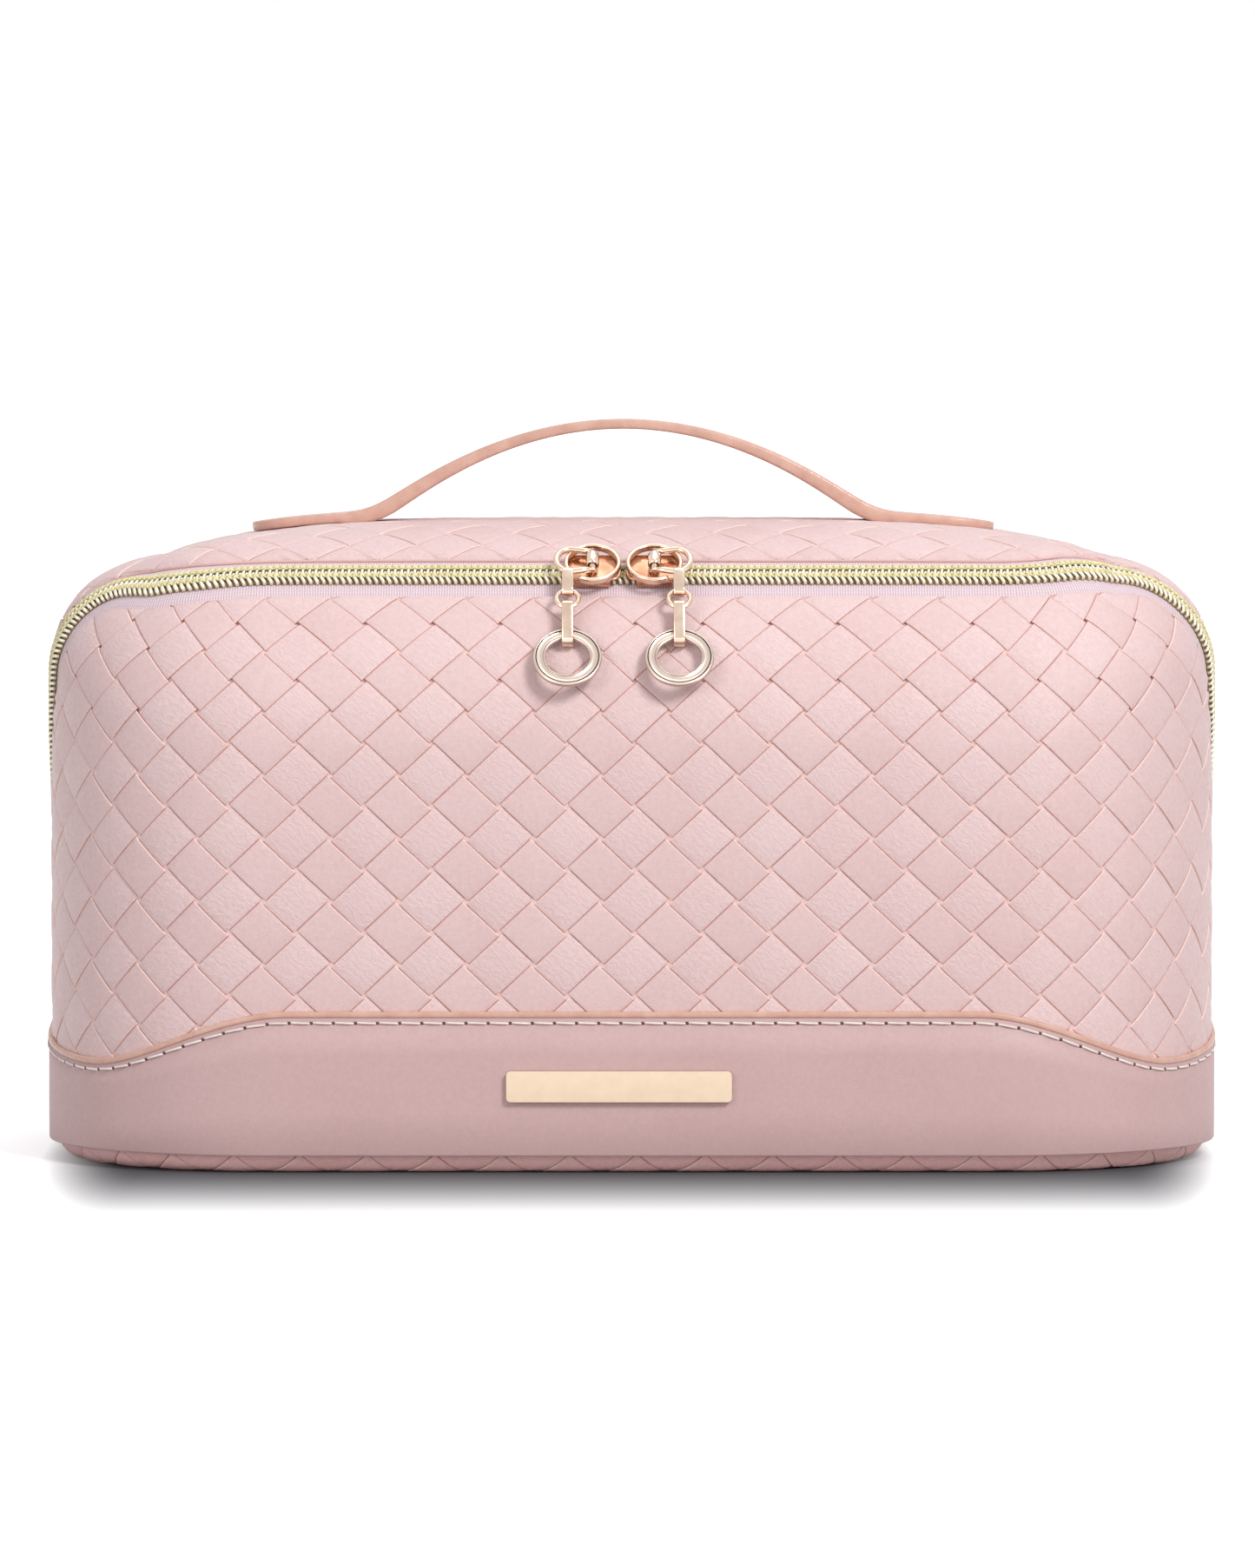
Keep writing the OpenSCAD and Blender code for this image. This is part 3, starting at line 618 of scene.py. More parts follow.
class Finishes:
    """Every material of the case, built once."""

    def __init__(self) -> None:
        """Build the materials."""
        smooth = {"grain": 0.36 * MM, "relief": 0.03 * MM}
        # Each woven leather's third colour is the painted shade in its seams.
        self.woven = LeatherFinish("woven_leather", colour(229, 203, 201), colour(213, 180, 177),
                                   colour(188, 126, 114), relief=0.08 * MM, rough=0.43).build()
        # Painted light: the bottom's woven rim is the wall's leather painted paler and pinker, standing in
        # for light on the shaded rim under the band; its seam shade is deeper.
        self.pan = LeatherFinish("pan_leather", colour(246, 206, 202), colour(232, 184, 180),
                                 colour(170, 108, 100), relief=0.07 * MM).build()
        self.backing = LeatherFinish("leather_backing", colour(232, 196, 190),
                                     colour(222, 184, 178)).build()
        self.band = LeatherFinish("band_leather", colour(204, 172, 170), colour(191, 158, 156),
                                  **smooth).build()
        self.strap = LeatherFinish("strap_leather", colour(222, 194, 194), colour(208, 176, 176),
                                   **smooth).build()
        self.edge = PaintedEdge().build()
        self.tape = RibbedCloth("zip_tape", colour(240, 222, 226), colour(200, 176, 184), cross=0.6).build()
        self.lining = RibbedCloth("lining_cloth", colour(226, 208, 208), colour(198, 176, 177),
                                  0.7, 0.7).build()
        self.pocket = RibbedCloth("pocket_cloth", colour(214, 192, 198), colour(188, 162, 170),
                                  1.3, 1.3).build()
        self.hem = RibbedCloth("hem_elastic", colour(222, 190, 190), colour(196, 160, 162), 1.1, 0.5,
                               0.12 * MM).build()
        self.coil = SpunThread("zip_coil", colour(250, 247, 232), colour(226, 218, 186), 0.25, 0.2).build()
        self.braid = SpunThread("zip_braid", colour(240, 232, 190), colour(212, 196, 138), 0.45).build()
        self.thread = SpunThread("sewing_thread", colour(246, 240, 232), colour(222, 208, 198), 0.6).build()
        # Painted shade: dark beads between the stitches stand for the shade in the needle holes.
        self.hole = PlainMatter("needle_hole", colour(110, 74, 68), colour(80, 50, 44)).build()
        # Painted shade: the coil bed is dark brown, standing for the shade in the gaps between the zip's
        # teeth.
        self.bed = SpunThread("coil_bed", colour(150, 128, 70), colour(84, 60, 36), 0.5).build()
        self.gold = SatinMetal("pale_gold", colour(231, 209, 190), colour(216, 184, 162)).build()
        self.rose = SatinMetal("rose_gold", colour(214, 168, 140), colour(188, 134, 104), 0.2).build()
        # Painted reflection: near-black rings on the pull ring's face stand for the dark reflections at its
        # lips.
        self.line = PlainMatter("dark_line", colour(60, 42, 38), colour(40, 28, 26)).build()
        self.plate = SatinMetal("plate_gold", colour(226, 204, 178), colour(221, 197, 171), 0.3).build()
        self.ring = SatinMetal("ring_gold", colour(212, 196, 184), colour(205, 187, 174), 0.3).build()
        self.foam = PlainMatter("foam", colour(228, 208, 208), colour(206, 184, 185)).build()
        self.board = PlainMatter("floor_board", colour(140, 132, 126), colour(112, 104, 98)).build()


class Repeat:
    """Builds Geometry Nodes trees that repeat one small mesh over a row or a lattice."""

    SEED = 7

    def __init__(self, name: str, material: bpy.types.Material) -> None:
        """Start a tree.

        Args:
            name: Name of the tree and of the piece that it makes.
            material: Material that the tree sets.
        """
        self.name = name
        self.material = material
        self.tree = bpy.data.node_groups.new(name, "GeometryNodeTree")
        face = self.tree.interface
        face.new_socket("Geometry", in_out="OUTPUT", socket_type="NodeSocketGeometry")
        self.sockets = {
            key: face.new_socket(key, in_out="INPUT", socket_type=kind).identifier
            for key, kind in (("Piece", "NodeSocketObject"), ("Columns", "NodeSocketInt"),
                              ("Rows", "NodeSocketInt"), ("Pitch", "NodeSocketFloat"),
                              ("Turn", "NodeSocketFloat"), ("Lift", "NodeSocketFloat"))
        }
        self.entry = self.tree.nodes.new("NodeGroupInput")
        self.exit = self.tree.nodes.new("NodeGroupOutput")

    def add(self, kind: str, settings: dict | None = None, inputs: dict | None = None) -> bpy.types.Node:
        """Add a node; inputs that are sockets are linked and others are set."""
        made = self.tree.nodes.new(kind)
        for key, value in (settings or {}).items():
            setattr(made, key, value)
        for key, value in (inputs or {}).items():
            if isinstance(value, bpy.types.NodeSocket):
                self.tree.links.new(value, made.inputs[key])
            else:
                made.inputs[key].default_value = value
        return made

    def maths(self, operation: str, first: object, second: object = 0.0) -> bpy.types.NodeSocket:
        """Add a Math node and return its output."""
        return self.add("ShaderNodeMath", {"operation": operation}, {0: first, 1: second}).outputs[0]

    def chance(self, low: float, high: float, draw: int) -> bpy.types.NodeSocket:
        """Return a random number between low and high for each copy."""
        return self.add("FunctionNodeRandomValue", {"data_type": "FLOAT"},
                        {2: low, 3: high, "Seed": self.SEED + draw}).outputs[1]

    def build(self, tile: bpy.types.Object, columns: int, rows: int, pitch: float, turn: float = 0.0,
              lift: float = 0.0, jitter: float = 0.0) -> tuple[np.ndarray, np.ndarray, dict]:
        """Repeat a tile over a lattice in the XY plane, centred on the origin.

        Args:
            tile: The mesh that is repeated.
            columns: Copies along X.
            rows: Copies along Y.
            pitch: Distance between copies.
            turn: Angle by which every second copy is turned.
            lift: Largest random move along Z.
            jitter: Largest random turn.

        Returns:
            The points, the quads and the stored numbers of the repeated mesh.
        """
        inp = self.entry.outputs
        width, height = (self.maths("MULTIPLY", inp["Pitch"], self.maths("SUBTRACT", inp[key], 1.0))
                         for key in ("Columns", "Rows"))
        grid = self.add("GeometryNodeMeshGrid", None, {"Size X": width, "Size Y": height,
                                                       "Vertices X": inp["Columns"],
                                                       "Vertices Y": inp["Rows"]})
        index = self.add("GeometryNodeInputIndex").outputs[0]
        column = self.maths("FLOOR", self.maths("DIVIDE", self.maths("ADD", index, 0.5), inp["Rows"]))
        line = self.maths("SUBTRACT", index, self.maths("MULTIPLY", column, inp["Rows"]))
        odd = self.maths("MODULO", self.maths("ADD", column, line), 2.0)
        angle = self.maths("ADD", self.maths("MULTIPLY", odd, inp["Turn"]), self.chance(-jitter, jitter, 0))
        turned = self.add("ShaderNodeCombineXYZ", None, {"Z": angle}).outputs[0]
        rise = self.maths("MULTIPLY", self.chance(-1.0, 1.0, 1), inp["Lift"])
        raised = self.add("ShaderNodeCombineXYZ", None, {"Z": rise}).outputs[0]
        moved = self.add("GeometryNodeSetPosition", None,
                         {"Geometry": grid.outputs["Mesh"], "Offset": raised})
        info = self.add("GeometryNodeObjectInfo", None, {"Object": inp["Piece"]})
        marked = self.add("GeometryNodeInstanceOnPoints", None,
                          {"Points": moved.outputs[0], "Instance": info.outputs["Geometry"],
                           "Rotation": turned})
        for name, value in (("tone", self.chance(0.0, 1.0, 2)), ("odd", odd)):
            marked = self.add("GeometryNodeStoreNamedAttribute",
                              {"data_type": "FLOAT", "domain": "INSTANCE"},
                              {"Geometry": marked.outputs[0], "Name": name, "Value": value})
        real = self.add("GeometryNodeRealizeInstances", None, {"Geometry": marked.outputs[0]})
        done = self.add("GeometryNodeSetMaterial", None,
                        {"Geometry": real.outputs[0], "Material": self.material})
        self.tree.links.new(done.outputs[0], self.exit.inputs[0])
        host = bpy.data.objects.new(self.name + "_host", bpy.data.meshes.new(self.name))
        bpy.context.scene.collection.objects.link(host)
        modifier = host.modifiers.new("repeat", "NODES")
        modifier.node_group = self.tree
        for socket, value in zip(self.sockets.values(), (tile, columns, rows, pitch, turn, lift)):
            modifier[socket] = value
        graph = bpy.context.evaluated_depsgraph_get()
        mesh = bpy.data.meshes.new_from_object(host.evaluated_get(graph))
        points = np.empty(len(mesh.vertices) * 3)
        mesh.vertices.foreach_get("co", points)
        corners = np.empty(len(mesh.loops), int)
        mesh.loops.foreach_get("vertex_index", corners)
        kept = {}
        for layer in mesh.attributes:
            if layer.domain == "POINT" and layer.data_type == "FLOAT":
                values = np.empty(len(mesh.vertices), np.float32)
                layer.data.foreach_get("value", values)
                kept[layer.name] = values
        for spent in (host, tile):
            bpy.data.objects.remove(spent)
        bpy.data.meshes.remove(mesh)
        return points.reshape(-1, 3), corners.reshape(-1, 4), kept


def dress(piece: bpy.types.Object, material: bpy.types.Material, body: str, slot: str,
          *nodes: str) -> bpy.types.Object:
    """Give a piece its material, a body to ride and the nodes that it replaces."""
    piece.data.materials.clear()
    piece.data.materials.append(material)
    if body:
        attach(piece, body)
    if nodes:
        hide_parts(*nodes)
    LOG.info("%s: %d faces on %s", piece.name, len(piece.data.polygons), body)
    return piece


def tube(path: np.ndarray, ups: np.ndarray, wide: float, tall: object, closed: bool, sides: int = 10,
         power: float = 1.0) -> tuple:
    """Sweep an ellipse along a path.

    Args:
        path: Points of the middle line.
        ups: Direction at each point along which the ellipse is tall.
        wide: Half width across the up direction.
        tall: Half height along the up direction, one number or one for each point.
        closed: Whether the path is a ring.
        sides: Points round the ellipse.
        power: Below 1, the ellipse turns towards a rectangle.

    Returns:
        Points and faces.
    """
    path, ups = np.asarray(path, float), np.asarray(ups, float)
    ahead, behind = np.roll(path, -1, 0), np.roll(path, 1, 0)
    if not closed:
        ahead[-1], behind[0] = path[-1], path[0]
    run = ahead - behind
    run /= np.linalg.norm(run, axis=1, keepdims=True)
    ups = ups - run * np.sum(ups * run, axis=1, keepdims=True)
    ups /= np.linalg.norm(ups, axis=1, keepdims=True)
    across = np.cross(run, ups)
    turn = np.arange(sides) * 2 * math.pi / sides
    flat = np.sign(np.cos(turn)) * np.abs(np.cos(turn)) ** power * wide
    high = np.broadcast_to(tall, len(path))[:, None] * np.sign(np.sin(turn)) * np.abs(np.sin(turn)) ** power
    points = path[:, None] + across[:, None] * flat[None, :, None] + ups[:, None] * high[:, :, None]
    faces = grid_faces(len(path), sides, closed, True)
    if not closed:
        faces += lids(len(path), sides)
    return points.reshape(-1, 3), faces


def rounded_outline(half_x: float, half_y: float, radius: float) -> np.ndarray:
    """Return the points of a rectangle with round corners, anticlockwise."""
    radius = max(min(radius, half_x, half_y), 1e-6)
    spread = np.linspace(0, math.pi / 2, 8)
    corners = []
    for k, (sx, sy) in enumerate(((1, 1), (-1, 1), (-1, -1), (1, -1))):
        angle = spread + k * math.pi / 2
        corners.append(np.stack([sx * (half_x - radius) + radius * np.cos(angle),
                                 sy * (half_y - radius) + radius * np.sin(angle)], axis=1))
    return np.concatenate(corners)


def loft(levels: list[np.ndarray]) -> tuple[np.ndarray, list]:
    """Join outlines of equally many points into a closed form with flat ends."""
    count = len(levels[0])
    points = np.concatenate(levels)
    return points, grid_faces(len(levels), count, False, True) + lids(len(levels), count)


def soft_plate(half_x: float, half_y: float, radius: float, low: float, high: float, bevel: float) -> tuple:
    """Return a plate with rounded corners and bevelled rims, from height low to high."""
    levels = []
    for shrink, z in ((bevel, low), (bevel * 0.3, low + bevel * 0.3), (0, low + bevel), (0, high - bevel),
                      (bevel * 0.3, high - bevel * 0.3), (bevel, high)):
        flat = rounded_outline(half_x - shrink, half_y - shrink, radius - shrink)
        levels.append(np.column_stack([flat, np.full(len(flat), z)]))
    return loft(levels)


def together(name: str, *parts: tuple) -> bpy.types.Object:
    """Make one piece from several closed meshes."""
    points, faces, start = [], [], 0
    for part_points, part_faces in parts:
        points.append(np.asarray(part_points))
        faces += [tuple(i + start for i in face) for face in part_faces]
        start += len(part_points)
    return outward(new_piece(name, np.concatenate(points), faces))


@dataclass
class WovenLeather:
    """Basket weave of pillowed leather strips, made flat and then laid on the case."""

    # The strip's stations along its run and in from its long edge, where a neighbour's edge lies
    # on that run, and how far the long edge drops, all in millimetres.
    ALONG = (0, 2.6, 4.4, 5.1, 5.4, 5.65, 6.0, 6.5)
    NEIGHBOUR = 5.45
    INSET = (0, 0, 0.03, 0.1, 0.26, 0.6, 1.6, 3.2)
    DROP = (0.85, 0.5, 0.16, 0.04, 0, 0, 0, 0)

    half_wide: float = 7.65 * MM
    half_tall: float = 7.16 * MM
    gap: float = 0.95 * MM
    proud: float = 0.5 * MM
    backing_deep: float = 0.12 * MM
    start_s: float = 31.3 * MM
    start_v: float = 90.4 * MM
    lid_start: tuple = (-34.3 * MM, -41.2 * MM)
    seam_turn: float = 0.45
    tucked: float = 3 * MM
    past_zip: float = 20 * MM
    hinge_reach: float = 100 * MM
    pan_start: float = 26.65 * MM
    pan_reach: float = 13 * MM
    pan_roll: float = 7.4 * MM
    pan_inset: tuple = (1.4 * MM, 4.6 * MM)
    pan_height: tuple = (4.9 * MM, 0.35 * MM)
    pan_lift: tuple = (0.45 * MM, 0.15 * MM)

    @property
    def pitch(self) -> float:
        """Return the distance between strips on the square lattice."""
        return math.hypot(self.half_wide, self.half_tall)

    def tile(self) -> bpy.types.Object:
        """Return one strip's visible stretch, along Y, with its ends dipping under its neighbours."""
        edge = (self.pitch + self.gap) / 2
        half_side = (self.pitch - self.gap) / 2
        along = np.array([-x for x in self.ALONG[:0:-1]] + list(self.ALONG)) * edge / self.NEIGHBOUR
        inset, drop = np.array(self.INSET) * MM, np.array(self.DROP) * MM
        side = np.concatenate([-half_side + inset, [0.0], half_side - inset[::-1]])
        drop = np.concatenate([drop, [0.0], drop[::-1]])
        u, w = np.meshgrid(along, side, indexing="ij")
        crown = self.proud * (1 - 0.3 * np.abs(w / half_side) ** 3 - 0.8 * np.abs(u / edge) ** 4)
        dip = 0.9 * MM * ease(0.96 * edge, 1.22 * edge, np.abs(u))
        points = np.stack([w, u, crown - dip - drop[None, :]], axis=-1).reshape(-1, 3)
        # Painted shade: this mask marks the steep long edges and the ends that dip under the neighbours,
        # which the leather darkens as shade in the seams.
        under = np.maximum(drop[None, :] > 0.3 * MM, ease(0.955, 1.0, np.abs(u) / edge))
        # Painted highlight, partly the paler raw edge: a thin band along each long edge where the strip
        # starts to drop, kept off the seams.
        cut = np.broadcast_to(np.abs(drop[None, :] - 0.1 * MM) < 0.07 * MM, u.shape) * (1.0 - under)
        quads = grid_faces(len(along), len(side))
        return new_piece("weave_tile", points, quads, {"crease": under, "cut": cut})

    def sheet(self, name: str, material: bpy.types.Material, span: int) -> tuple:
        """Return the flat weave, its diagonals upright, as points, quads and stored numbers."""
        points, quads, kept = Repeat(name, material).build(
            self.tile(), span, span, self.pitch, math.pi / 2, 0.05 * MM, math.radians(0.5))
        turned_x = (points[:, 0] - points[:, 1]) / self.pitch * self.half_wide
        turned_y = (points[:, 0] + points[:, 1]) / self.pitch * self.half_tall
        return np.column_stack([turned_x, turned_y, points[:, 2]]), quads, kept

    def finish(self, name: str, points: np.ndarray, quads: np.ndarray, kept: dict,
               outside: np.ndarray) -> bpy.types.Object:
        """Drop the quads that lie outside and make the piece, faces outwards."""
        quads = quads[~np.all(outside[quads], axis=1)]
        used, renamed = np.unique(quads, return_inverse=True)
        marks = {key: values[used] for key, values in kept.items()}
        return new_piece(name, points[used], renamed.reshape(-1, 4), marks)

    def seam_height(self, s: np.ndarray) -> np.ndarray:
        """Return v of the seam between the lid's top and its back."""
        return FORM.wall_top(s) + FORM.edge_radius(s) * self.seam_turn

    def base_sheet(self, name: str, material: bpy.types.Material) -> bpy.types.Object:
        """Return the woven wall below the zip."""
        flat, quads, kept = self.sheet(name, material, 50)
        s = flat[:, 0] + self.start_s - 5 * self.half_wide
        v = flat[:, 1] + self.start_v
        deep = -flat[:, 2]
        top = FORM.edge_height(s, -FORM.base_edge)
        low = FORM.band_top(s) - self.tucked
        reach = FORM.zip_end + self.past_zip
        outside = (v > top) | (v < low) | (np.abs(s) > reach)
        deep = np.where((v > top) | (v < low), self.backing_deep, deep)
        points = FORM.skin(np.clip(s, -reach, reach), np.clip(v, low, np.maximum(top, low)), deep)
        return self.finish(name, points, quads, kept, outside)

    def pan_sheet(self, name: str, material: bpy.types.Material) -> bpy.types.Object:
        """Return the woven rim of the bottom, rolled in below the band."""
        flat, quads, kept = self.sheet(name, material, 50)
        s = flat[:, 0] + self.start_s - 5 * self.half_wide
        run = -(flat[:, 1] + self.start_v) + self.pan_start
        outside = (run < 0) | (run > self.pan_reach) | (np.abs(s) > FORM.half_loop)
        down = np.clip(run, 0, self.pan_reach)
        turn = np.clip(down / self.pan_roll, 0, 1) * math.pi / 2
        start, rolled = self.pan_inset
        inset = start + rolled * (1 - np.cos(turn)) + np.maximum(down - self.pan_roll, 0)
        z = self.pan_height[0] * (1 - np.sin(turn)) + self.pan_height[1]
        most, sunk = self.pan_lift
        lift = np.where(outside, -self.backing_deep, np.minimum(flat[:, 2], most) - sunk)
        x, y = FORM.plan(np.clip(s, -FORM.half_loop, FORM.half_loop), inset - lift * np.cos(turn))
        points = np.column_stack([x, y, np.maximum(z - lift * np.sin(turn), 0.0)])
        return self.finish(name, points, quads, kept, outside)

    def back_sheet(self, name: str, material: bpy.types.Material) -> bpy.types.Object:
        """Return the woven back and wings of the lid."""
        flat, quads, kept = self.sheet(name, material, 38)
        s, v = flat[:, 0] + FORM.half_loop, flat[:, 1] + self.start_v
        low, top = FORM.edge_height(self.wrapped(s), FORM.lid_edge), self.seam_height(self.wrapped(s))
        far = np.abs(flat[:, 0]) > FORM.half_loop - self.hinge_reach
        outside = (v > top) | (v < low) | (low >= top) | far
        deep = np.where((v > top) | (v < low), self.backing_deep, -flat[:, 2])
        points = FORM.skin(self.wrapped(s), np.clip(v, low, np.maximum(top, low)), deep)
        return self.finish(name, points, quads, kept, outside)

    def top_sheet(self, name: str, material: bpy.types.Material) -> bpy.types.Object:
        """Return the woven top of the lid, laid flat over the crown and down its rounding."""
        flat, quads, kept = self.sheet(name, material, 40)
        x = flat[:, 0] + self.lid_start[0] + 4 * self.half_wide
        y = flat[:, 1] + self.lid_start[1] + 6 * self.half_tall
        s, v, inside = FORM.unroll_top(x, y)
        low = np.maximum(FORM.edge_height(s, FORM.lid_edge), self.seam_height(s))
        outside = v < low
        deep = np.where(outside, self.backing_deep, -flat[:, 2])
        points = FORM.skin(s, np.maximum(v, low), deep)
        core = (np.abs(x) <= FORM.run_x) & (np.abs(y) <= FORM.run_y)
        on_top = core | (inside > 0)
        points[on_top] = np.column_stack([x, y, FORM.height - FORM.fall_at(x) - deep])[on_top]
        return self.finish(name, points, quads, kept, outside & ~on_top)

    @staticmethod
    def wrapped(s: np.ndarray) -> np.ndarray:
        """Return s brought back to the range either side of the front's middle."""
        loop = 2 * FORM.half_loop
        return (s + FORM.half_loop) % loop - FORM.half_loop


def stations(start: float, stop: float, step: float = 2 * MM) -> np.ndarray:
    """Return evenly spaced distances from start to stop."""
    return np.linspace(start, stop, max(int(round((stop - start) / step)), 1) + 1)


def loop_stations() -> np.ndarray:
    """Return distances once round the plan, without the repeated last one, alike at front and back."""
    quarter = np.concatenate([stations(0, FORM.run_x, 8 * MM)[:-1],
                              stations(FORM.run_x, FORM.side_start, 2.4 * MM)[:-1],
                              stations(FORM.side_start, FORM.half_loop / 2, 4 * MM)])
    half = np.concatenate([quarter, (FORM.half_loop - quarter)[::-1][1:]])
    return np.concatenate([-half[::-1][:-1], half[:-1]])


def layer(name: str, s: np.ndarray, low: object, top: object, section: list[tuple], closed: bool = False,
          shares: int = 1) -> bpy.types.Object:
    """Wrap a closed section round the case between two lines.

    Args:
        name: Name of the piece.
        s: Stations along the plan.
        low: v of the lower line, one number or one for each station.
        top: v of the upper line.
        section: Rows of share of the way up, extra v and depth, in order round the section.
        closed: Whether the piece goes all round the case.
        shares: How many times each edge of the section is divided.

    Returns:
        The piece, with its distances along and across stored in millimetres.
    """
    rows = np.array([*section, section[0]], float)
    steps = np.arange(len(section) * shares) / shares
    share, extra, deep = (np.interp(steps, np.arange(len(rows)), column)[None, :] for column in rows.T)
    low, top = np.broadcast_to(low, s.shape)[:, None], np.broadcast_to(top, s.shape)[:, None]
    v = low + share * (top - low) + extra
    points = FORM.skin(s[:, None], v, deep)
    faces = grid_faces(len(s), len(steps), closed, True)
    if not closed:
        faces += lids(len(s), len(steps))
    marks = {"along": np.broadcast_to(s[:, None] / MM, v.shape), "across": v / MM}
    return outward(new_piece(name, points.reshape(-1, 3), faces, marks))


def lid_layer(name: str, reach: float, outer: float, inner: float) -> bpy.types.Object:
    """Wrap a shell round the lid, from the line at reach beside the zip over the crown."""
    s = loop_stations()
    low, crest = FORM.edge_height(s, reach), FORM.crest(s)
    share = np.linspace(0, 1, 15)
    v = low[:, None] + share * (crest - low)[:, None]
    shrink = np.array([0.92, 0.8, 0.65, 0.5, 0.35, 0.2, 0.1, 0.0])
    sides = []
    for deep in (outer, inner):
        wall = FORM.skin(s[:, None], v, deep)
        rim = wall[:, -1:, :2]
        over = rim * shrink[None, :, None]
        z = FORM.height - FORM.fall_at(over[..., 0]) - deep
        sides.append(np.concatenate([wall, np.dstack([over, z])], axis=1))
    points = np.concatenate([sides[0][:, ::-1], sides[1]], axis=1)
    count = points.shape[1]
    across = np.concatenate([v, v[:, -1:] + (1 - shrink) * 60 * MM], axis=1) / MM
    marks = {"along": np.broadcast_to(s[:, None] / MM, (len(s), count)),
             "across": np.concatenate([across[:, ::-1], across], axis=1)}
    return outward(new_piece(name, points.reshape(-1, 3), grid_faces(len(s), count, True, False), marks))


@dataclass
class Course:
    """A line on the skin along which rows of small shapes are laid."""

    height: object
    start: float
    stop: float

    def __post_init__(self) -> None:
        """Measure the line."""
        self.dense = np.linspace(self.start, self.stop, 6001)
        line = FORM.skin(self.dense, self.height(self.dense), 0.0)
        self.run = np.concatenate([[0.0], np.cumsum(np.linalg.norm(np.diff(line, axis=0), axis=1))])

    @property
    def length(self) -> float:
        """Return the length of the line."""
        return float(self.run[-1])

    def lay(self, points: np.ndarray) -> np.ndarray:
        """Wrap flat points: x along the line from its middle, y to its left and z outwards."""
        s = np.interp(points[:, 0] + self.length / 2, self.run, self.dense)
        slope = slope_of(self.height, s)
        reach = points[:, 1] / np.sqrt(1 + slope**2)
        return FORM.skin(s - slope * reach, self.height(s) + reach, -points[:, 2])

    def row(self, name: str, material: bpy.types.Material, parts: list[tuple], pitch: float,
            spare: float = 0.0) -> bpy.types.Object:
        """Repeat small closed shapes along the line, as near to the pitch as fits.

        Args:
            name: Name of the piece.
            material: Material of the shapes.
            parts: Points and faces of each shape, all quads.
            pitch: Wanted distance between repeats.
            spare: Length left free at both ends together.

        Returns:
            The piece, which dress still has to give its material.
        """
        count = int(round((self.length - spare) / pitch))
        real = (self.length - spare) / count
        points, quads, kept = Repeat(name, material).build(together(name + "_tile", *parts), count, 1, real)
        return new_piece(name, self.lay(points), quads, kept)


def bead(path: list[tuple], radius: float, tall: float, sides: int = 6) -> tuple:
    """Return a thread along a few points, in millimetres, with ends that close to quads."""
    line = np.array(path, float) * MM
    ends = [line[0] + (line[0] - line[1]) * 1e-3, line[-1] + (line[-1] - line[-2]) * 1e-3]
    line = np.concatenate([[ends[0]], line, [ends[1]]])
    points, _ = tube(line, np.tile([0.0, 0.0, 1.0], (len(line), 1)), radius * MM, tall * MM, False, sides)
    points = points.reshape(len(line), sides, 3)
    for end in (0, -1):
        points[end] = points[end].mean(0) + (points[end] - points[end].mean(0)) * 0.45
    half = sides // 2
    faces = grid_faces(len(line), sides, False, True)
    for base in (0, (len(line) - 1) * sides):
        for k in range(half - 1):
            faces.append((base + k, base + k + 1, base + sides - 2 - k, base + sides - 1 - k))
    return points.reshape(-1, 3), faces


class Shell:
    """The woven leather skin with what lies behind it."""

    def __init__(self, finish: Finishes) -> None:
        """Keep the materials."""
        self.finish = finish
        self.weave = WovenLeather()

    def build(self) -> None:
        """Make the woven sheets, their backing and the bottom."""
        look, weave = self.finish, self.weave
        s = loop_stations()
        top = FORM.edge_height(s, -FORM.base_edge)
        outer, inner = weave.backing_deep, 1.2 * MM
        backing = layer("base_backing", s, 5.1 * MM, top,
                        [(0, 0, outer), (1, 0, outer), (1, 0, inner), (0, 0, inner)], True, 8)
        dress(backing, look.backing, "case_base", "woven_leather", "front_wall_panel", "rear_sill_panel")
        dress(lid_layer("lid_backing", FORM.lid_edge, outer, inner), look.backing, "lid", "woven_leather",
              "lid_panel")
        dress(weave.base_sheet("base_weave", look.woven), look.woven, "case_base", "woven_leather")
        dress(weave.pan_sheet("pan_weave", look.pan), look.pan, "case_base", "woven_leather")
        dress(weave.top_sheet("lid_top_weave", look.woven), look.woven, "lid", "woven_leather")
        dress(weave.back_sheet("lid_back_weave", look.woven), look.woven, "lid", "woven_leather")


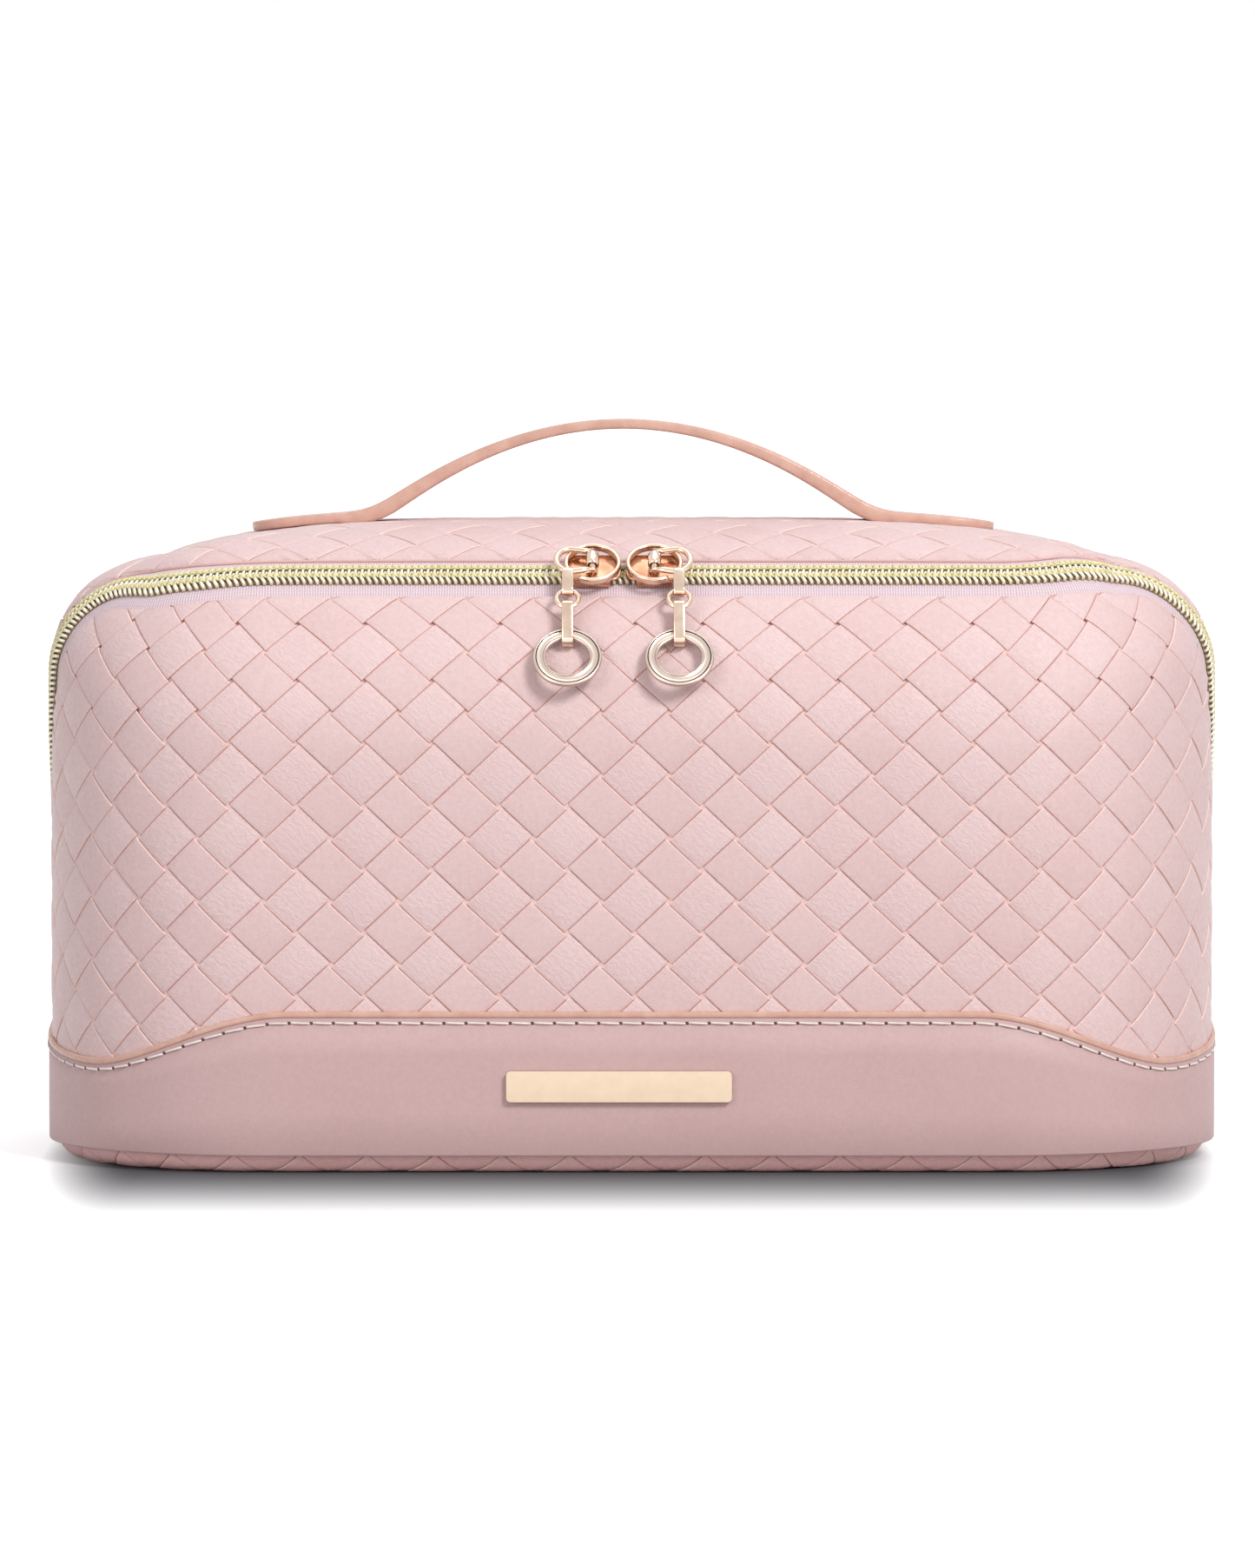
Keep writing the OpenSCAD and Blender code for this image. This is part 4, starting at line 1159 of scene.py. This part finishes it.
class Band:
    """The smooth band round the foot with its painted edge and stitches."""

    def __init__(self, finish: Finishes) -> None:
        """Keep the materials."""
        self.finish = finish

    def build(self) -> None:
        """Make the band."""
        half = stations(0, FORM.half_loop)
        s = np.concatenate([-half[::-1][:-1], half[:-1]])
        top = FORM.band_top(s)
        low = 4.1 * MM
        body = layer("band_body", s, low, top,
                     [(0, 0, -0.1 * MM), (0, 0, -0.8 * MM), (0, 0.35 * MM, -1.05 * MM), (0.3, 0, -1.1 * MM),
                      (0.7, 0, -1.1 * MM), (1, -1.3 * MM, -1.1 * MM), (1, -1.2 * MM, -0.1 * MM),
                      (0.5, 0, -0.1 * MM)], True)
        dress(body, self.finish.band, "case_base", "band_leather", "base_band")
        edge = layer("band_edge", s, low, top,
                     [(1, -1.42 * MM, -0.9 * MM), (1, -1.36 * MM, -1.2 * MM), (1, -1.1 * MM, -1.32 * MM),
                      (1, -0.4 * MM, -1.3 * MM), (1, -0.1 * MM, -1.12 * MM), (1, 0, -0.8 * MM),
                      (1, 0, -0.1 * MM), (1, -1.3 * MM, -0.1 * MM)], True)
        dress(edge, self.finish.edge, "case_base", "band_leather")
        seam = Course(lambda at: FORM.band_top(at) - 2.6 * MM, -FORM.half_loop, FORM.half_loop)
        thread = bead([(-2.2, 0.1, 0.8), (-2.0, 0.1, 1.15), (-1.4, 0.06, 1.3), (0, 0, 1.34),
                       (1.4, -0.06, 1.3), (2.0, -0.1, 1.15), (2.2, -0.1, 0.8)], 0.26, 0.2)
        # Painted shade: a dark bead between the stitches stands for the shade in each needle hole.
        hole = bead([(2.15, 0, 1.1), (2.3, 0, 1.14), (2.7, 0, 1.14), (2.85, 0, 1.1)], 0.34, 0.06)
        for name, material, part in (("band_stitches", self.finish.thread, thread),
                                     ("band_holes", self.finish.hole, hole)):
            dress(seam.row(name, material, [part], 5 * MM), material, "case_base", "band_leather")


@dataclass
class Zip:
    """The two-way coil zip: ribbed tapes, interlocked teeth and the braid sewn over them."""

    # Sections of the tape and of the bed under the coils, whose dark colour is painted shade
    # between the teeth: reach from the zip's middle, and height, in millimetres.
    UPPER = {"base": [(9.3, -1.4), (7.6, -1.34), (7, -1.2), (6.2, -0.95), (5.2, -0.72), (4, -0.62),
                      (3, -0.6)],
             "lid": [(9.3, -1.4), (7.5, -1.36), (6.4, -1.28), (5.9, -0.95), (5.2, -0.5), (4.4, -0.38),
                     (3, -0.4)]}
    LOWER = [(1.5, -0.8), (0.25, -0.8), (0.25, -1.2), (3, -1.3), (6, -1.7), (9.3, -1.85)]
    BED = [(0.3, -0.35), (0.4, 0.15), (2.2, 0.2), (2.65, -0.2), (2.65, -1.05), (0.3, -1.05)]

    finish: Finishes
    pitch: float = 1.5 * MM
    spare: float = 0.6 * MM

    def build(self) -> None:
        """Make both halves."""
        line = Course(FORM.zip_line, -FORM.zip_end, FORM.zip_end)
        for half, body, side in (("base", "case_base", -1), ("lid", "lid", 1)):
            tape = self.strip(f"tape_{half}", line, self.UPPER[half] + self.LOWER, side)
            dress(tape, self.finish.tape, body, "zip_tape", f"zip_tape_{half}")
            # The bed's dark colour is painted shade in the gaps between the teeth.
            dress(self.strip(f"coil_bed_{half}", line, self.BED, side), self.finish.bed, body, "zip_coil",
                  f"zip_coil_{half}")
            teeth, braid = self.shapes(side)
            for what, parts, material in (("teeth", teeth, self.finish.coil),
                                          ("braid", braid, self.finish.braid)):
                piece = line.row(f"coil_{what}_{half}", material, parts, self.pitch, self.spare)
                dress(piece, material, body, "zip_coil")

    def strip(self, name: str, line: Course, section: list[tuple], side: int) -> bpy.types.Object:
        """Run a section of reach and height along the zip, in millimetres."""
        along = np.linspace(-line.length / 2, line.length / 2, 420)
        rim = np.array(section) * MM * [side, 1]
        grid = np.concatenate([np.column_stack([np.full(len(rim), x), rim]) for x in along])
        faces = grid_faces(len(along), len(rim), False, True) + lids(len(along), len(rim))
        marks = {"along": grid[:, 0] / MM, "across": grid[:, 1] / MM}
        return outward(new_piece(name, line.lay(grid), faces, marks))

    @staticmethod
    def shapes(side: int) -> tuple[list, list]:
        """Return the teeth and the braid of one pitch, on the lid's side or the base's."""
        def arc(y: float, z: float, mid_y: float, mid_z: float, radius: float, tall: float) -> tuple:
            """Return a bowed thread as long as the pitch."""
            path = [(-0.75, y, z), (-0.2, mid_y, mid_z), (0.2, mid_y, mid_z), (0.75, y, z)]
            return bead(path, radius, tall)

        if side > 0:
            teeth = [bead([(0.1, 1.45, 0.4), (0, 0.85, 0.58), (-0.08, 0.2, 0.55), (-0.1, -0.15, 0.2)],
                          0.36, 0.3),
                     bead([(0.3, 2.1, 0.4), (0.1, 2.6, 0.15), (-0.1, 2.75, -0.45)], 0.42, 0.36)]
            braid = [arc(1.35, 0.55, 1.7, 0.8, 0.34, 0.28), arc(2.5, 0.3, 2.2, 0.7, 0.36, 0.3)]
        else:
            teeth = [bead([(0.65, -0.1, 0.3), (0.7, 0.25, 0.5), (0.8, 0.55, 0.35)], 0.32, 0.28),
                     bead([(-0.45, -1.3, 0.5), (-0.1, -1.95, 0.68), (0.3, -2.55, 0.4), (0.42, -2.8, -0.35)],
                          0.42, 0.36)]
            braid = [arc(-0.35, 0.55, -0.68, 0.8, 0.32, 0.28), arc(-1.4, 0.62, -1.08, 0.8, 0.32, 0.28)]
        return teeth, braid


def revolve(profile: list[tuple], turn: tuple[float, float] = (0.0, 360.0), steps: int = 48) -> tuple:
    """Turn a closed profile of radius and height, in millimetres, about Z.

    Args:
        profile: Points round the profile.
        turn: First and last angle in degrees; a full turn closes on itself.
        steps: Stations of a full turn.

    Returns:
        Points in millimetres and faces.
    """
    whole = turn[1] - turn[0] >= 360
    count = max(int(steps * (turn[1] - turn[0]) / 360), 3) + (0 if whole else 1)
    angles = np.radians(np.linspace(turn[0], turn[1], count, endpoint=not whole))
    rim = np.array(profile, float)
    points = np.stack([np.cos(angles)[:, None] * rim[:, 0], np.sin(angles)[:, None] * rim[:, 0],
                       np.broadcast_to(rim[:, 1], (count, len(rim)))], axis=-1).reshape(-1, 3)
    faces = grid_faces(count, len(rim), whole, True)
    if not whole:
        faces += lids(count, len(rim))
    return points, faces


def soft_box(inner: float, outer: float, low: float, high: float, bevel: float) -> list[tuple]:
    """Return a rectangular profile with bevelled corners, for a turned ring."""
    k = bevel * 0.3
    return [(outer, low + bevel), (outer, high - bevel), (outer - k, high - k), (outer - bevel, high),
            (inner + bevel, high), (inner + k, high - k), (inner, high - bevel), (inner, low + bevel),
            (inner + k, low + k), (inner + bevel, low), (outer - bevel, low), (outer - k, low + k)]


def circle_path(radius: float, start: float, stop: float, count: int) -> np.ndarray:
    """Return points of an arc about the origin in the XY plane, in millimetres."""
    angles = np.radians(np.linspace(start, stop, count))
    return np.column_stack([radius * np.cos(angles), radius * np.sin(angles), np.zeros(count)])


@dataclass(frozen=True)
class Place:
    """A frame in millimetres: turned about X by an angle, moved, and mirrored in X where asked."""

    origin: tuple[float, float, float]
    turn: float
    mirrored: bool = False

    def put(self, part: tuple) -> tuple:
        """Return a mesh moved from this frame to the case's frame, in metres."""
        points = np.array(part[0], float)
        if self.mirrored:
            points[:, 0] *= -1
        x, y, z = points.T
        c, s = math.cos(math.radians(self.turn)), math.sin(math.radians(self.turn))
        return (np.column_stack([x, y * c - z * s, y * s + z * c]) + np.array(self.origin)) * MM, part[1]


@dataclass
class Pull:
    """One slider with its crown ring, loop and hanging chain; lengths in millimetres."""

    finish: Finishes
    hand: Hand
    meet: float = -1.9
    pitch: float = 14.1
    tilt: float = 38.85
    front: tuple[float, float] = (-50.6, 135.2)
    plate_low: float = 1.6
    plate: float = 0.7
    under: float = -2.85
    crown_outer: float = 6.45
    crown_inner: float = 5.55
    crown_high: float = 1.75
    axle: float = 4.3
    barrel: float = 1.5
    bore: float = 0.9
    barrel_half: float = 2.0
    wire: float = 0.72
    loop_long: float = 8.2
    loop_half: float = 3.9
    loop_foot: float = 3.0
    chain: float = 5.6
    strip_half: float = 1.3
    ring_hang: float = 6.4
    strip_thick: float = 0.55
    hook: tuple[float, float] = (-57.054, 135.535)
    clip_end: tuple[float, float] = (-59.816, 131.856)
    ring_end: tuple[float, float] = (-63.226, 128.200)
    bar_end: tuple[float, float] = (-65.235, 122.018)
    leans: tuple[float, float, float, float] = (36.9, 43.0, 18.0, 37.0)

    @property
    def side(self) -> int:
        """Return -1 on the left and 1 on the right."""
        return self.hand.value

    def own(self) -> Place:
        """Return the slider's frame."""
        return Place((self.meet + self.side * self.pitch / 2, *self.front), self.tilt, self.side > 0)

    def hanging(self, at: tuple[float, float], lean: float) -> Place:
        """Return the frame of a hanging piece, whose Z points up its length."""
        return Place((self.meet + self.side * (self.pitch / 2 + self.chain), *at), -lean)

    def piece(self, what: str, material: bpy.types.Material, parts: list[tuple], *nodes: str,
              body: str = "") -> bpy.types.Object:
        """Join parts into a piece that rides this side's body of the same name."""
        word = self.hand.word
        made = together(f"{word}_{what}", *parts)
        return dress(made, material, f"{body or what}_{word}", "pale_gold",
                     *(f"{node}_{word}" for node in nodes))

    def build(self) -> None:
        """Make the slider and everything that hangs from it."""
        own, top = self.own(), self.plate_low + self.plate
        gold, rose = self.finish.gold, self.finish.rose

        def flat(x: float, y: float, r: float, low: float, high: float, bevel: float,
                 at: tuple = (0, 0)) -> tuple:
            """Return a bevelled plate in the slider's frame, moved sideways by at."""
            points, faces = soft_plate(x, y, r, low, high, bevel)
            return own.put((points + np.array([at[0], at[1], 0.0]), faces))

        self.piece("slider", rose, [
            flat(6.5, 4.3, 2.4, self.plate_low, top, 0.22),
            flat(6.5, 4.3, 2.4, self.under - self.plate, self.under, 0.2),
            flat(1.5, 0.25, 0.1, self.under - 0.1, self.plate_low + 0.1, 0.02, (3, 0)),
            flat(4.1, 0.45, 0.2, 0.0, self.plate_low + 0.1, 0.05, (0, -3.85))], "slider")
        post = flat(1.1, self.barrel_half - 0.6, 0.6, top - 0.1, self.axle - self.bore - 0.1, 0.1)
        points, faces = revolve(soft_box(self.bore, self.barrel, -self.barrel_half, self.barrel_half, 0.35),
                                steps=28)
        drum = (points[:, [0, 2, 1]] * [1, 1, -1] + [0, 0, self.axle], faces)
        self.piece("slider_barrel", gold, [post, own.put(drum)], body="slider")
        rim = soft_box(self.crown_inner, self.crown_outer, top, top + self.crown_high, 0.3)
        self.piece("slider_crown", gold, [own.put(revolve(rim, (240, 560), 60))], "slider_crown",
                   body="slider")
        self.piece("pull_loop", gold, [own.put(part) for part in self.loop()], "pull_loop")
        for what, at, lean, part in (
                ("top_clip", self.hook, self.leans[0], self.eye(1.0, 1.0, 4.6)),
                ("small_ring", self.clip_end, self.leans[1], self.round_ring()),
                ("bar_link", self.ring_end, self.leans[2], self.eye(1.0, 1.6, 7.2)),
                ("pull_ring", self.bar_end, self.leans[3], self.flat_ring())):
            look = self.finish.ring if what == "pull_ring" else gold
            self.piece(what, look, [self.hanging(at, lean).put(part)], what)
        # Painted reflection: dark rings at the lips of the pull ring's face.
        ring = self.hanging(self.bar_end, self.leans[3])
        self.piece("pull_ring_line", self.finish.line, [ring.put(part) for part in self.lines()],
                   body="pull_ring")

    def loop(self) -> list[tuple]:
        """Return the wire loop and its bar in the slider's frame."""
        wide, foot, end = self.loop_half, self.loop_foot, self.loop_long
        arc = circle_path(1.0, 90, 180, 10)[:-1] * [wide * 0.85, wide, 1.0] - [end - wide * 0.85, 0, 0]
        path = np.concatenate([[[0.0, foot, 0.0], [arc[0, 0] / 2, (foot + wide) / 2, 0.0]], arc,
                               [[-end, 0.0, 0.0]]])
        path = np.concatenate([path, (path[:-1] * [1, -1, 1])[::-1]]) + [0, 0, self.axle]
        bar = np.array([[0.0, y, self.axle] for y in (-foot - 0.75, -foot - 0.6, foot + 0.6, foot + 0.75)])
        up = [0.0, 0.0, 1.0]
        points, faces = tube(bar, np.tile(up, (4, 1)), 0.75, 0.75, False, 14)
        rows = points.reshape(4, 14, 3)
        for row in (0, 3):
            rows[row] = rows[row].mean(0) + (rows[row] - rows[row].mean(0)) * 0.75
        return [tube(path, np.tile(up, (len(path), 1)), self.wire, self.wire, False, 14), (points, faces)]

    def eye(self, upper: float, lower: float, length: float) -> tuple:
        """Return a strip bent into a long eye that hangs from the origin."""
        grow = self.strip_thick / 2
        lean = math.degrees(math.asin((lower - upper) / length))
        high = circle_path(upper + grow, lean * -1, 180 + lean, 13)
        low = circle_path(lower + grow, 180 + lean, 360 - lean, 15) - [0, length, 0]
        path = np.concatenate([high, low])[:, [2, 0, 1]]
        return tube(path, np.tile([1.0, 0.0, 0.0], (len(path), 1)), grow, self.strip_half, True, 16, 0.45)

    def round_ring(self) -> tuple:
        """Return the small wire ring that hangs from the origin."""
        radius, wire, turns = 2.5, 0.55, np.linspace(0, 2 * math.pi, 13)[:-1]
        profile = [(radius + wire * math.cos(a), wire * math.sin(a)) for a in turns]
        points, faces = revolve(profile, steps=36)
        return points[:, [0, 2, 1]] - [0, 0, radius], faces

    def lines(self) -> list[tuple]:
        """Return the dark rings at the pull ring's lips, painted as the metal's dark reflections there, in
        its hanging frame.
        """
        made = []
        for inner, outer, high in ((5.33, 5.52, 0.58), (6.98, 7.28, 0.64)):
            profile = [(inner, -high), (outer, -high), (outer, high), (inner, high)]
            points, faces = revolve(profile, steps=72)
            made.append((points[:, [0, 2, 1]] - [0, 0, self.ring_hang], faces))
        return made

    def flat_ring(self) -> tuple:
        """Return the pull ring that hangs from the origin."""
        half = [(7.8, 0.0), (7.75, 0.4), (7.6, 0.6), (7.4, 0.68), (7.24, 0.64), (7.16, 0.5), (5.5, 0.5),
                (5.42, 0.6), (5.28, 0.62), (5.1, 0.48), (5.05, 0.2)]
        rim = half + [(r, -z) for r, z in reversed(half[1:])]
        points, faces = revolve(rim, steps=72)
        return points[:, [0, 2, 1]] - [0, 0, self.ring_hang], faces


@dataclass
class Strap:
    """The carrying strap: a flat arch whose ends are sewn to the lid as tabs; lengths in metres."""

    finish: Finishes
    shift: float = -2 * MM
    half_wide: float = 9.5 * MM
    thick: float = 2.2 * MM
    lift: float = 23.6 * MM
    fold: float = 61.5 * MM
    end: float = 86.6 * MM
    gap: float = 0.4 * MM
    power: float = 2.0
    fold_ease: float = 1.5 * MM
    swell: float = 0.62
    swell_ends: tuple[float, float] = (54 * MM, 68 * MM)
    tip: float = 9 * MM
    inset: float = 0.5 * MM
    edge_inset: float = 0.55 * MM
    edge_wide: float = 0.62 * MM
    edge_tall: float = 1.14 * MM
    bend: tuple[float, float] = (147.5 * MM, 158 * MM)

    def rise(self, x: np.ndarray) -> np.ndarray:
        """Return the height of the strap's upper face at x from its middle."""
        tab = FORM.height - FORM.fall_at(x) + self.gap + self.thick
        arch = FORM.height + self.lift - (self.lift - 0.1 * MM) * (np.abs(x) / self.fold) ** self.power
        return tab + soft_plus(arch - tab, self.fold_ease)

    def half(self, x: np.ndarray) -> np.ndarray:
        """Return half the strap's width at x from its middle."""
        past = np.maximum(np.abs(x) - (self.end - self.half_wide), 0)
        return np.sqrt(np.maximum(self.half_wide**2 - past**2, 0))

    def growth(self, x: np.ndarray) -> np.ndarray:
        """Return how many times its least thickness the strap has at x from its middle."""
        start, stop = self.swell_ends
        return 1 + self.swell * (x / start) ** 2 * (1 - ease(start, stop, np.abs(x)))

    def surface(self, x: np.ndarray, y: np.ndarray, deep: np.ndarray) -> np.ndarray:
        """Return points on the strap, deep below its upper face where that is thinnest."""
        deep = deep * self.growth(x)
        slope = slope_of(self.rise, x, 0.1 * MM)
        size = np.sqrt(1 + slope**2)
        parts = np.broadcast_arrays(x + self.shift + deep * slope / size, y, self.rise(x) - deep / size)
        return np.stack(parts, axis=-1)

    def outline(self, inset: float, count: int = 15) -> np.ndarray:
        """Return x and y once round the strap at a distance inside its edge."""
        radius, tip = self.half_wide - inset, self.end - self.half_wide
        straight = stations(-tip, tip)
        angles = np.linspace(-math.pi / 2, math.pi / 2, count)[1:-1]
        right = np.column_stack([tip + radius * np.cos(angles), radius * np.sin(angles)])
        upper = np.column_stack([straight[::-1], np.full(len(straight), radius)])
        lower = np.column_stack([straight, np.full(len(straight), -radius)])
        return np.concatenate([lower, right, upper, right[::-1] * [-1, 1]])

    def build(self) -> None:
        """Make the strap and its painted edge."""
        reach = self.end - self.inset
        start = -reach + self.tip * (1 - np.cos(np.linspace(0, math.pi / 2, 9)[:-1]))
        x = np.concatenate([start, stations(-reach + self.tip, reach - self.tip, 1.6 * MM), -start[::-1]])
        half = np.maximum(self.half(x) - self.inset, 0.2 * MM)
        rows = [(-1, 0.35), (-0.97, 0.08), (-0.9, 0), (-0.5, -0.02), (0, -0.03), (0.5, -0.02), (0.9, 0),
                (0.97, 0.08), (1, 0.35), (1, 1.85), (0.97, 2.12), (0.9, 2.2), (0, 2.2), (-0.9, 2.2),
                (-0.97, 2.12), (-1, 1.85)]
        share, deep = np.array(rows).T
        points = self.surface(x[:, None], half[:, None] * share[None, :], (deep * MM)[None, :])
        faces = grid_faces(len(x), len(rows), False, True) + lids(len(x), len(rows))
        body = outward(new_piece("strap_body", points.reshape(-1, 3), faces))
        rim = self.outline(self.edge_inset)
        path = self.surface(rim[:, 0], rim[:, 1], self.thick / 2)
        ups = path - self.surface(rim[:, 0], rim[:, 1], self.thick)
        tall = self.edge_tall * self.growth(rim[:, 0])
        edge = outward(new_piece("strap_edge", *tube(path, ups, self.edge_wide, tall, True, 12, 0.75)))
        for piece, material in ((body, self.finish.strap), (edge, self.finish.edge)):
            dress(piece, material, "", "strap_leather")
            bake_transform(piece, "lid", "handle", *((0.0, 0.0, z) for z in self.bend))
        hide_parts("handle_arch", "handle_foot_left", "handle_foot_right")


@dataclass
class Inside:
    """What shows when the lid is open, and the small cloth pieces at the back."""

    finish: Finishes

    def pocket(self) -> None:
        """Make the gathered slip pocket on the lining of the lid's back, and its elastic hem."""
        low, high = (np.array(corner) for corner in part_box("slip_pocket"))
        hem_low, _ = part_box("pocket_hem")
        cloth = self.gathered("pocket_cloth", low, high, low[2], high[2] - MM, 0.6 * MM, 0.25 * MM)
        hem = self.gathered("pocket_elastic", low - [0, 0.9 * MM, 0], high, hem_low[2], high[2], 1.5 * MM,
                            0.12 * MM)
        dress(cloth, self.finish.pocket, "lid", "pocket_cloth", "slip_pocket")
        dress(hem, self.finish.hem, "lid", "hem_elastic", "pocket_hem")

    @staticmethod
    def gathered(name: str, low: np.ndarray, high: np.ndarray, foot: float, top: float, thick: float,
                 ruffle: float) -> bpy.types.Object:
        """Return a cloth panel that bulges forward towards its top edge, with small gathers.

        Args:
            name: Name of the piece.
            low: Lower corner of the flat pocket's box.
            high: Upper corner of the flat pocket's box.
            foot: Height where the panel starts.
            top: Height where it ends.
            thick: Thickness of the cloth.
            ruffle: Half depth of the gathers at the top.
        """
        bulge, fold = 2.6 * MM, 3.1 * MM
        x, z = np.meshgrid(np.linspace(low[0], high[0], 241), np.linspace(foot, top, 15), indexing="ij")
        share, up = 2 * (x - low[0]) / (high[0] - low[0]) - 1, (z - low[2]) / (high[2] - low[2])
        free = (1 - share**6) * up**1.5
        y = low[1] - bulge * free - ruffle * free * (1 + np.sin(x * 2 * math.pi / fold))
        front = np.stack([x, y, z], axis=-1)
        sheet = np.concatenate([front, front[:, ::-1] + [0, thick, 0]], axis=1)
        rows, columns = sheet.shape[:2]
        faces = grid_faces(rows, columns, False, True) + lids(rows, columns)
        marks = {"along": sheet[..., 0] / MM, "across": sheet[..., 2] / MM}
        return outward(new_piece(name, sheet.reshape(-1, 3), faces, marks))

    def build(self) -> None:
        """Make the pocket and give the carried-over nodes their materials."""
        look = self.finish
        self.pocket()
        for material, nodes in ((look.lining, ("base_lining", "lid_lining", "floor_lining")),
                                (look.foam, ("base_foam", "lid_foam")), (look.board, ("floor_board",)),
                                (look.backing, ("bottom_panel",)), (look.plate, ("blank_plate",)),
                                (look.strap, ("zip_tab_left", "zip_tab_right", "hinge_strip_base",
                                              "hinge_strip_lid"))):
            for node in nodes:
                for slot in bpy.data.objects[node].material_slots:
                    slot.material = material


@dataclass
class Studio:
    """Floor, lamps and camera."""

    camera_at: tuple[float, float, float] = (-0.00098, -2.07, 0.185)
    aim: tuple[float, float, float] = (-0.00098, -0.07, 0.0884)
    lit: tuple[float, float, float] = (0.0, 0.0, 0.08)
    lens: float = 203.5
    floor_half: float = 30.0

    def build(self) -> None:
        """Light the case and look at it."""
        scene = bpy.context.scene
        scene.view_settings.view_transform = "Standard"
        self.backdrop()
        self.floor()
        self.lamp("key", (0.95, -1.45, 1.35), 0.55, 27)
        self.lamp("fill", (-1.1, -1.5, 0.6), 1.0, 7)
        self.lamp("top", (0.15, 0.3, 1.5), 1.1, 5)
        camera = bpy.data.objects.new("camera", bpy.data.cameras.new("camera"))
        camera.data.sensor_fit = "VERTICAL"
        camera.data.sensor_height = 36
        camera.data.lens = self.lens
        camera.data.clip_end = 60
        camera.location = self.camera_at
        camera.rotation_euler = self.look(self.camera_at, self.aim)
        scene.collection.objects.link(camera)
        scene.camera = camera

    @staticmethod
    def look(start: tuple, end: tuple) -> tuple[float, float, float]:
        """Return the rotation of a lamp or camera at start that faces end."""
        way = np.array(end) - np.array(start)
        return math.atan2(math.hypot(way[0], way[1]), -way[2]), 0.0, math.atan2(-way[0], way[1])

    def lamp(self, name: str, at: tuple, size: float, power: float) -> None:
        """Add a square area lamp that faces the case."""
        data = bpy.data.lights.new(name, "AREA")
        data.size, data.energy = size, power
        lamp = bpy.data.objects.new(name, data)
        lamp.location, lamp.rotation_euler = at, self.look(at, self.lit)
        bpy.context.scene.collection.objects.link(lamp)

    @staticmethod
    def shown(tree: bpy.types.NodeTree, unseen: bpy.types.Node, seen: bpy.types.Node, end: str) -> None:
        """Mix two shaders: one for the camera and for what metal and glass show, and one for other rays."""
        path = tree.nodes.new("ShaderNodeLightPath")
        total = path.outputs["Is Camera Ray"]
        for name in ("Is Glossy Ray", "Is Transmission Ray"):
            both = tree.nodes.new("ShaderNodeMath")
            both.operation, both.use_clamp = "ADD", True
            tree.links.new(total, both.inputs[0])
            tree.links.new(path.outputs[name], both.inputs[1])
            total = both.outputs[0]
        mix = tree.nodes.new("ShaderNodeMixShader")
        for socket, source in enumerate((total, unseen.outputs[0], seen.outputs[0])):
            tree.links.new(source, mix.inputs[socket])
        tree.links.new(mix.outputs[0], tree.nodes[end].inputs["Surface"])

    def backdrop(self) -> None:
        """Show white behind the case and light it softly from all round."""
        world = bpy.data.worlds.new("backdrop")
        bpy.context.scene.world = world
        world.use_nodes = True
        tree = world.node_tree
        dim, white = tree.nodes.new("ShaderNodeBackground"), tree.nodes["Background"]
        for node, tint, strength in ((dim, (0.95, 0.95, 1.0, 1.0), 0.5),
                                     (white, (1.0, 1.0, 1.0, 1.0), 1.0)):
            node.inputs["Color"].default_value = tint
            node.inputs["Strength"].default_value = strength
        self.shown(tree, dim, white, "World Output")

    def floor(self) -> None:
        """Add a floor that is white to the camera but for a soft shadow, partly cast by the lamps and partly
        painted into its colour and emission round the case's footprint, and dull to other rays.
        """
        g = Graph("floor_paper")
        core, away = 15 * MM, []
        for axis, half, share in ((0, FORM.width / 2 - 14 * MM, 1.8), (1, FORM.depth / 2 - 7 * MM, 0.25)):
            size = g.node("ShaderNodeMath", {"operation": "ABSOLUTE"},
                          {0: g.node("ShaderNodeSeparateXYZ", None, {"Vector": g.place()}, axis)})
            past = g.node("ShaderNodeMath", {"operation": "MAXIMUM"},
                          {0: size - (half - core / share), 1: 0.0})
            away.append(past * share)
        far = (away[0] ** 2.0 + away[1] ** 2.0) ** 0.5 - core
        # Painted shadow: this ramp darkens the floor's colour and emission round the footprint, reaching
        # much further in front than to the sides.
        near = g.ramp(far, -1 * MM, 30 * MM) ** 1.7
        # The emission keeps the painted shadow and rises far off, where the lamps do not reach, so the floor
        # stays white.
        glow_with_painted_shadow = near * 0.5 + g.ramp(far, 40 * MM, 500 * MM) * 0.5
        g.set(Base_Color=g.blend(near, (0.1, 0.1, 0.105, 1.0), (0.86, 0.86, 0.86, 1.0)), Roughness=0.9,
              Specular_IOR_Level=0.0, Emission_Strength=1.0,
              Emission_Color=g.blend(glow_with_painted_shadow, (0.0, 0.0, 0.0, 1.0), (1.0, 1.0, 1.0, 1.0)))
        dull = g.tree.nodes.new("ShaderNodeBsdfDiffuse")
        dull.inputs["Color"].default_value = (0.52, 0.5, 0.5, 1.0)
        self.shown(g.tree, dull, g.shader, "Material Output")
        corners = np.array([[-1, -1, 0], [1, -1, 0], [1, 1, 0], [-1, 1, 0]]) * self.floor_half
        floor = new_piece("floor", corners, [(0, 1, 2, 3)])
        floor.data.materials.append(g.material)


def main() -> None:
    """Build the train case and its stage."""
    logging.basicConfig(level=logging.INFO, format="%(message)s")
    finish = Finishes()
    Shell(finish).build()
    Band(finish).build()
    Zip(finish).build()
    for hand in Hand:
        Pull(finish, hand).build()
    Strap(finish).build()
    Inside(finish).build()
    Studio().build()


if __name__ == "__main__":
    main()
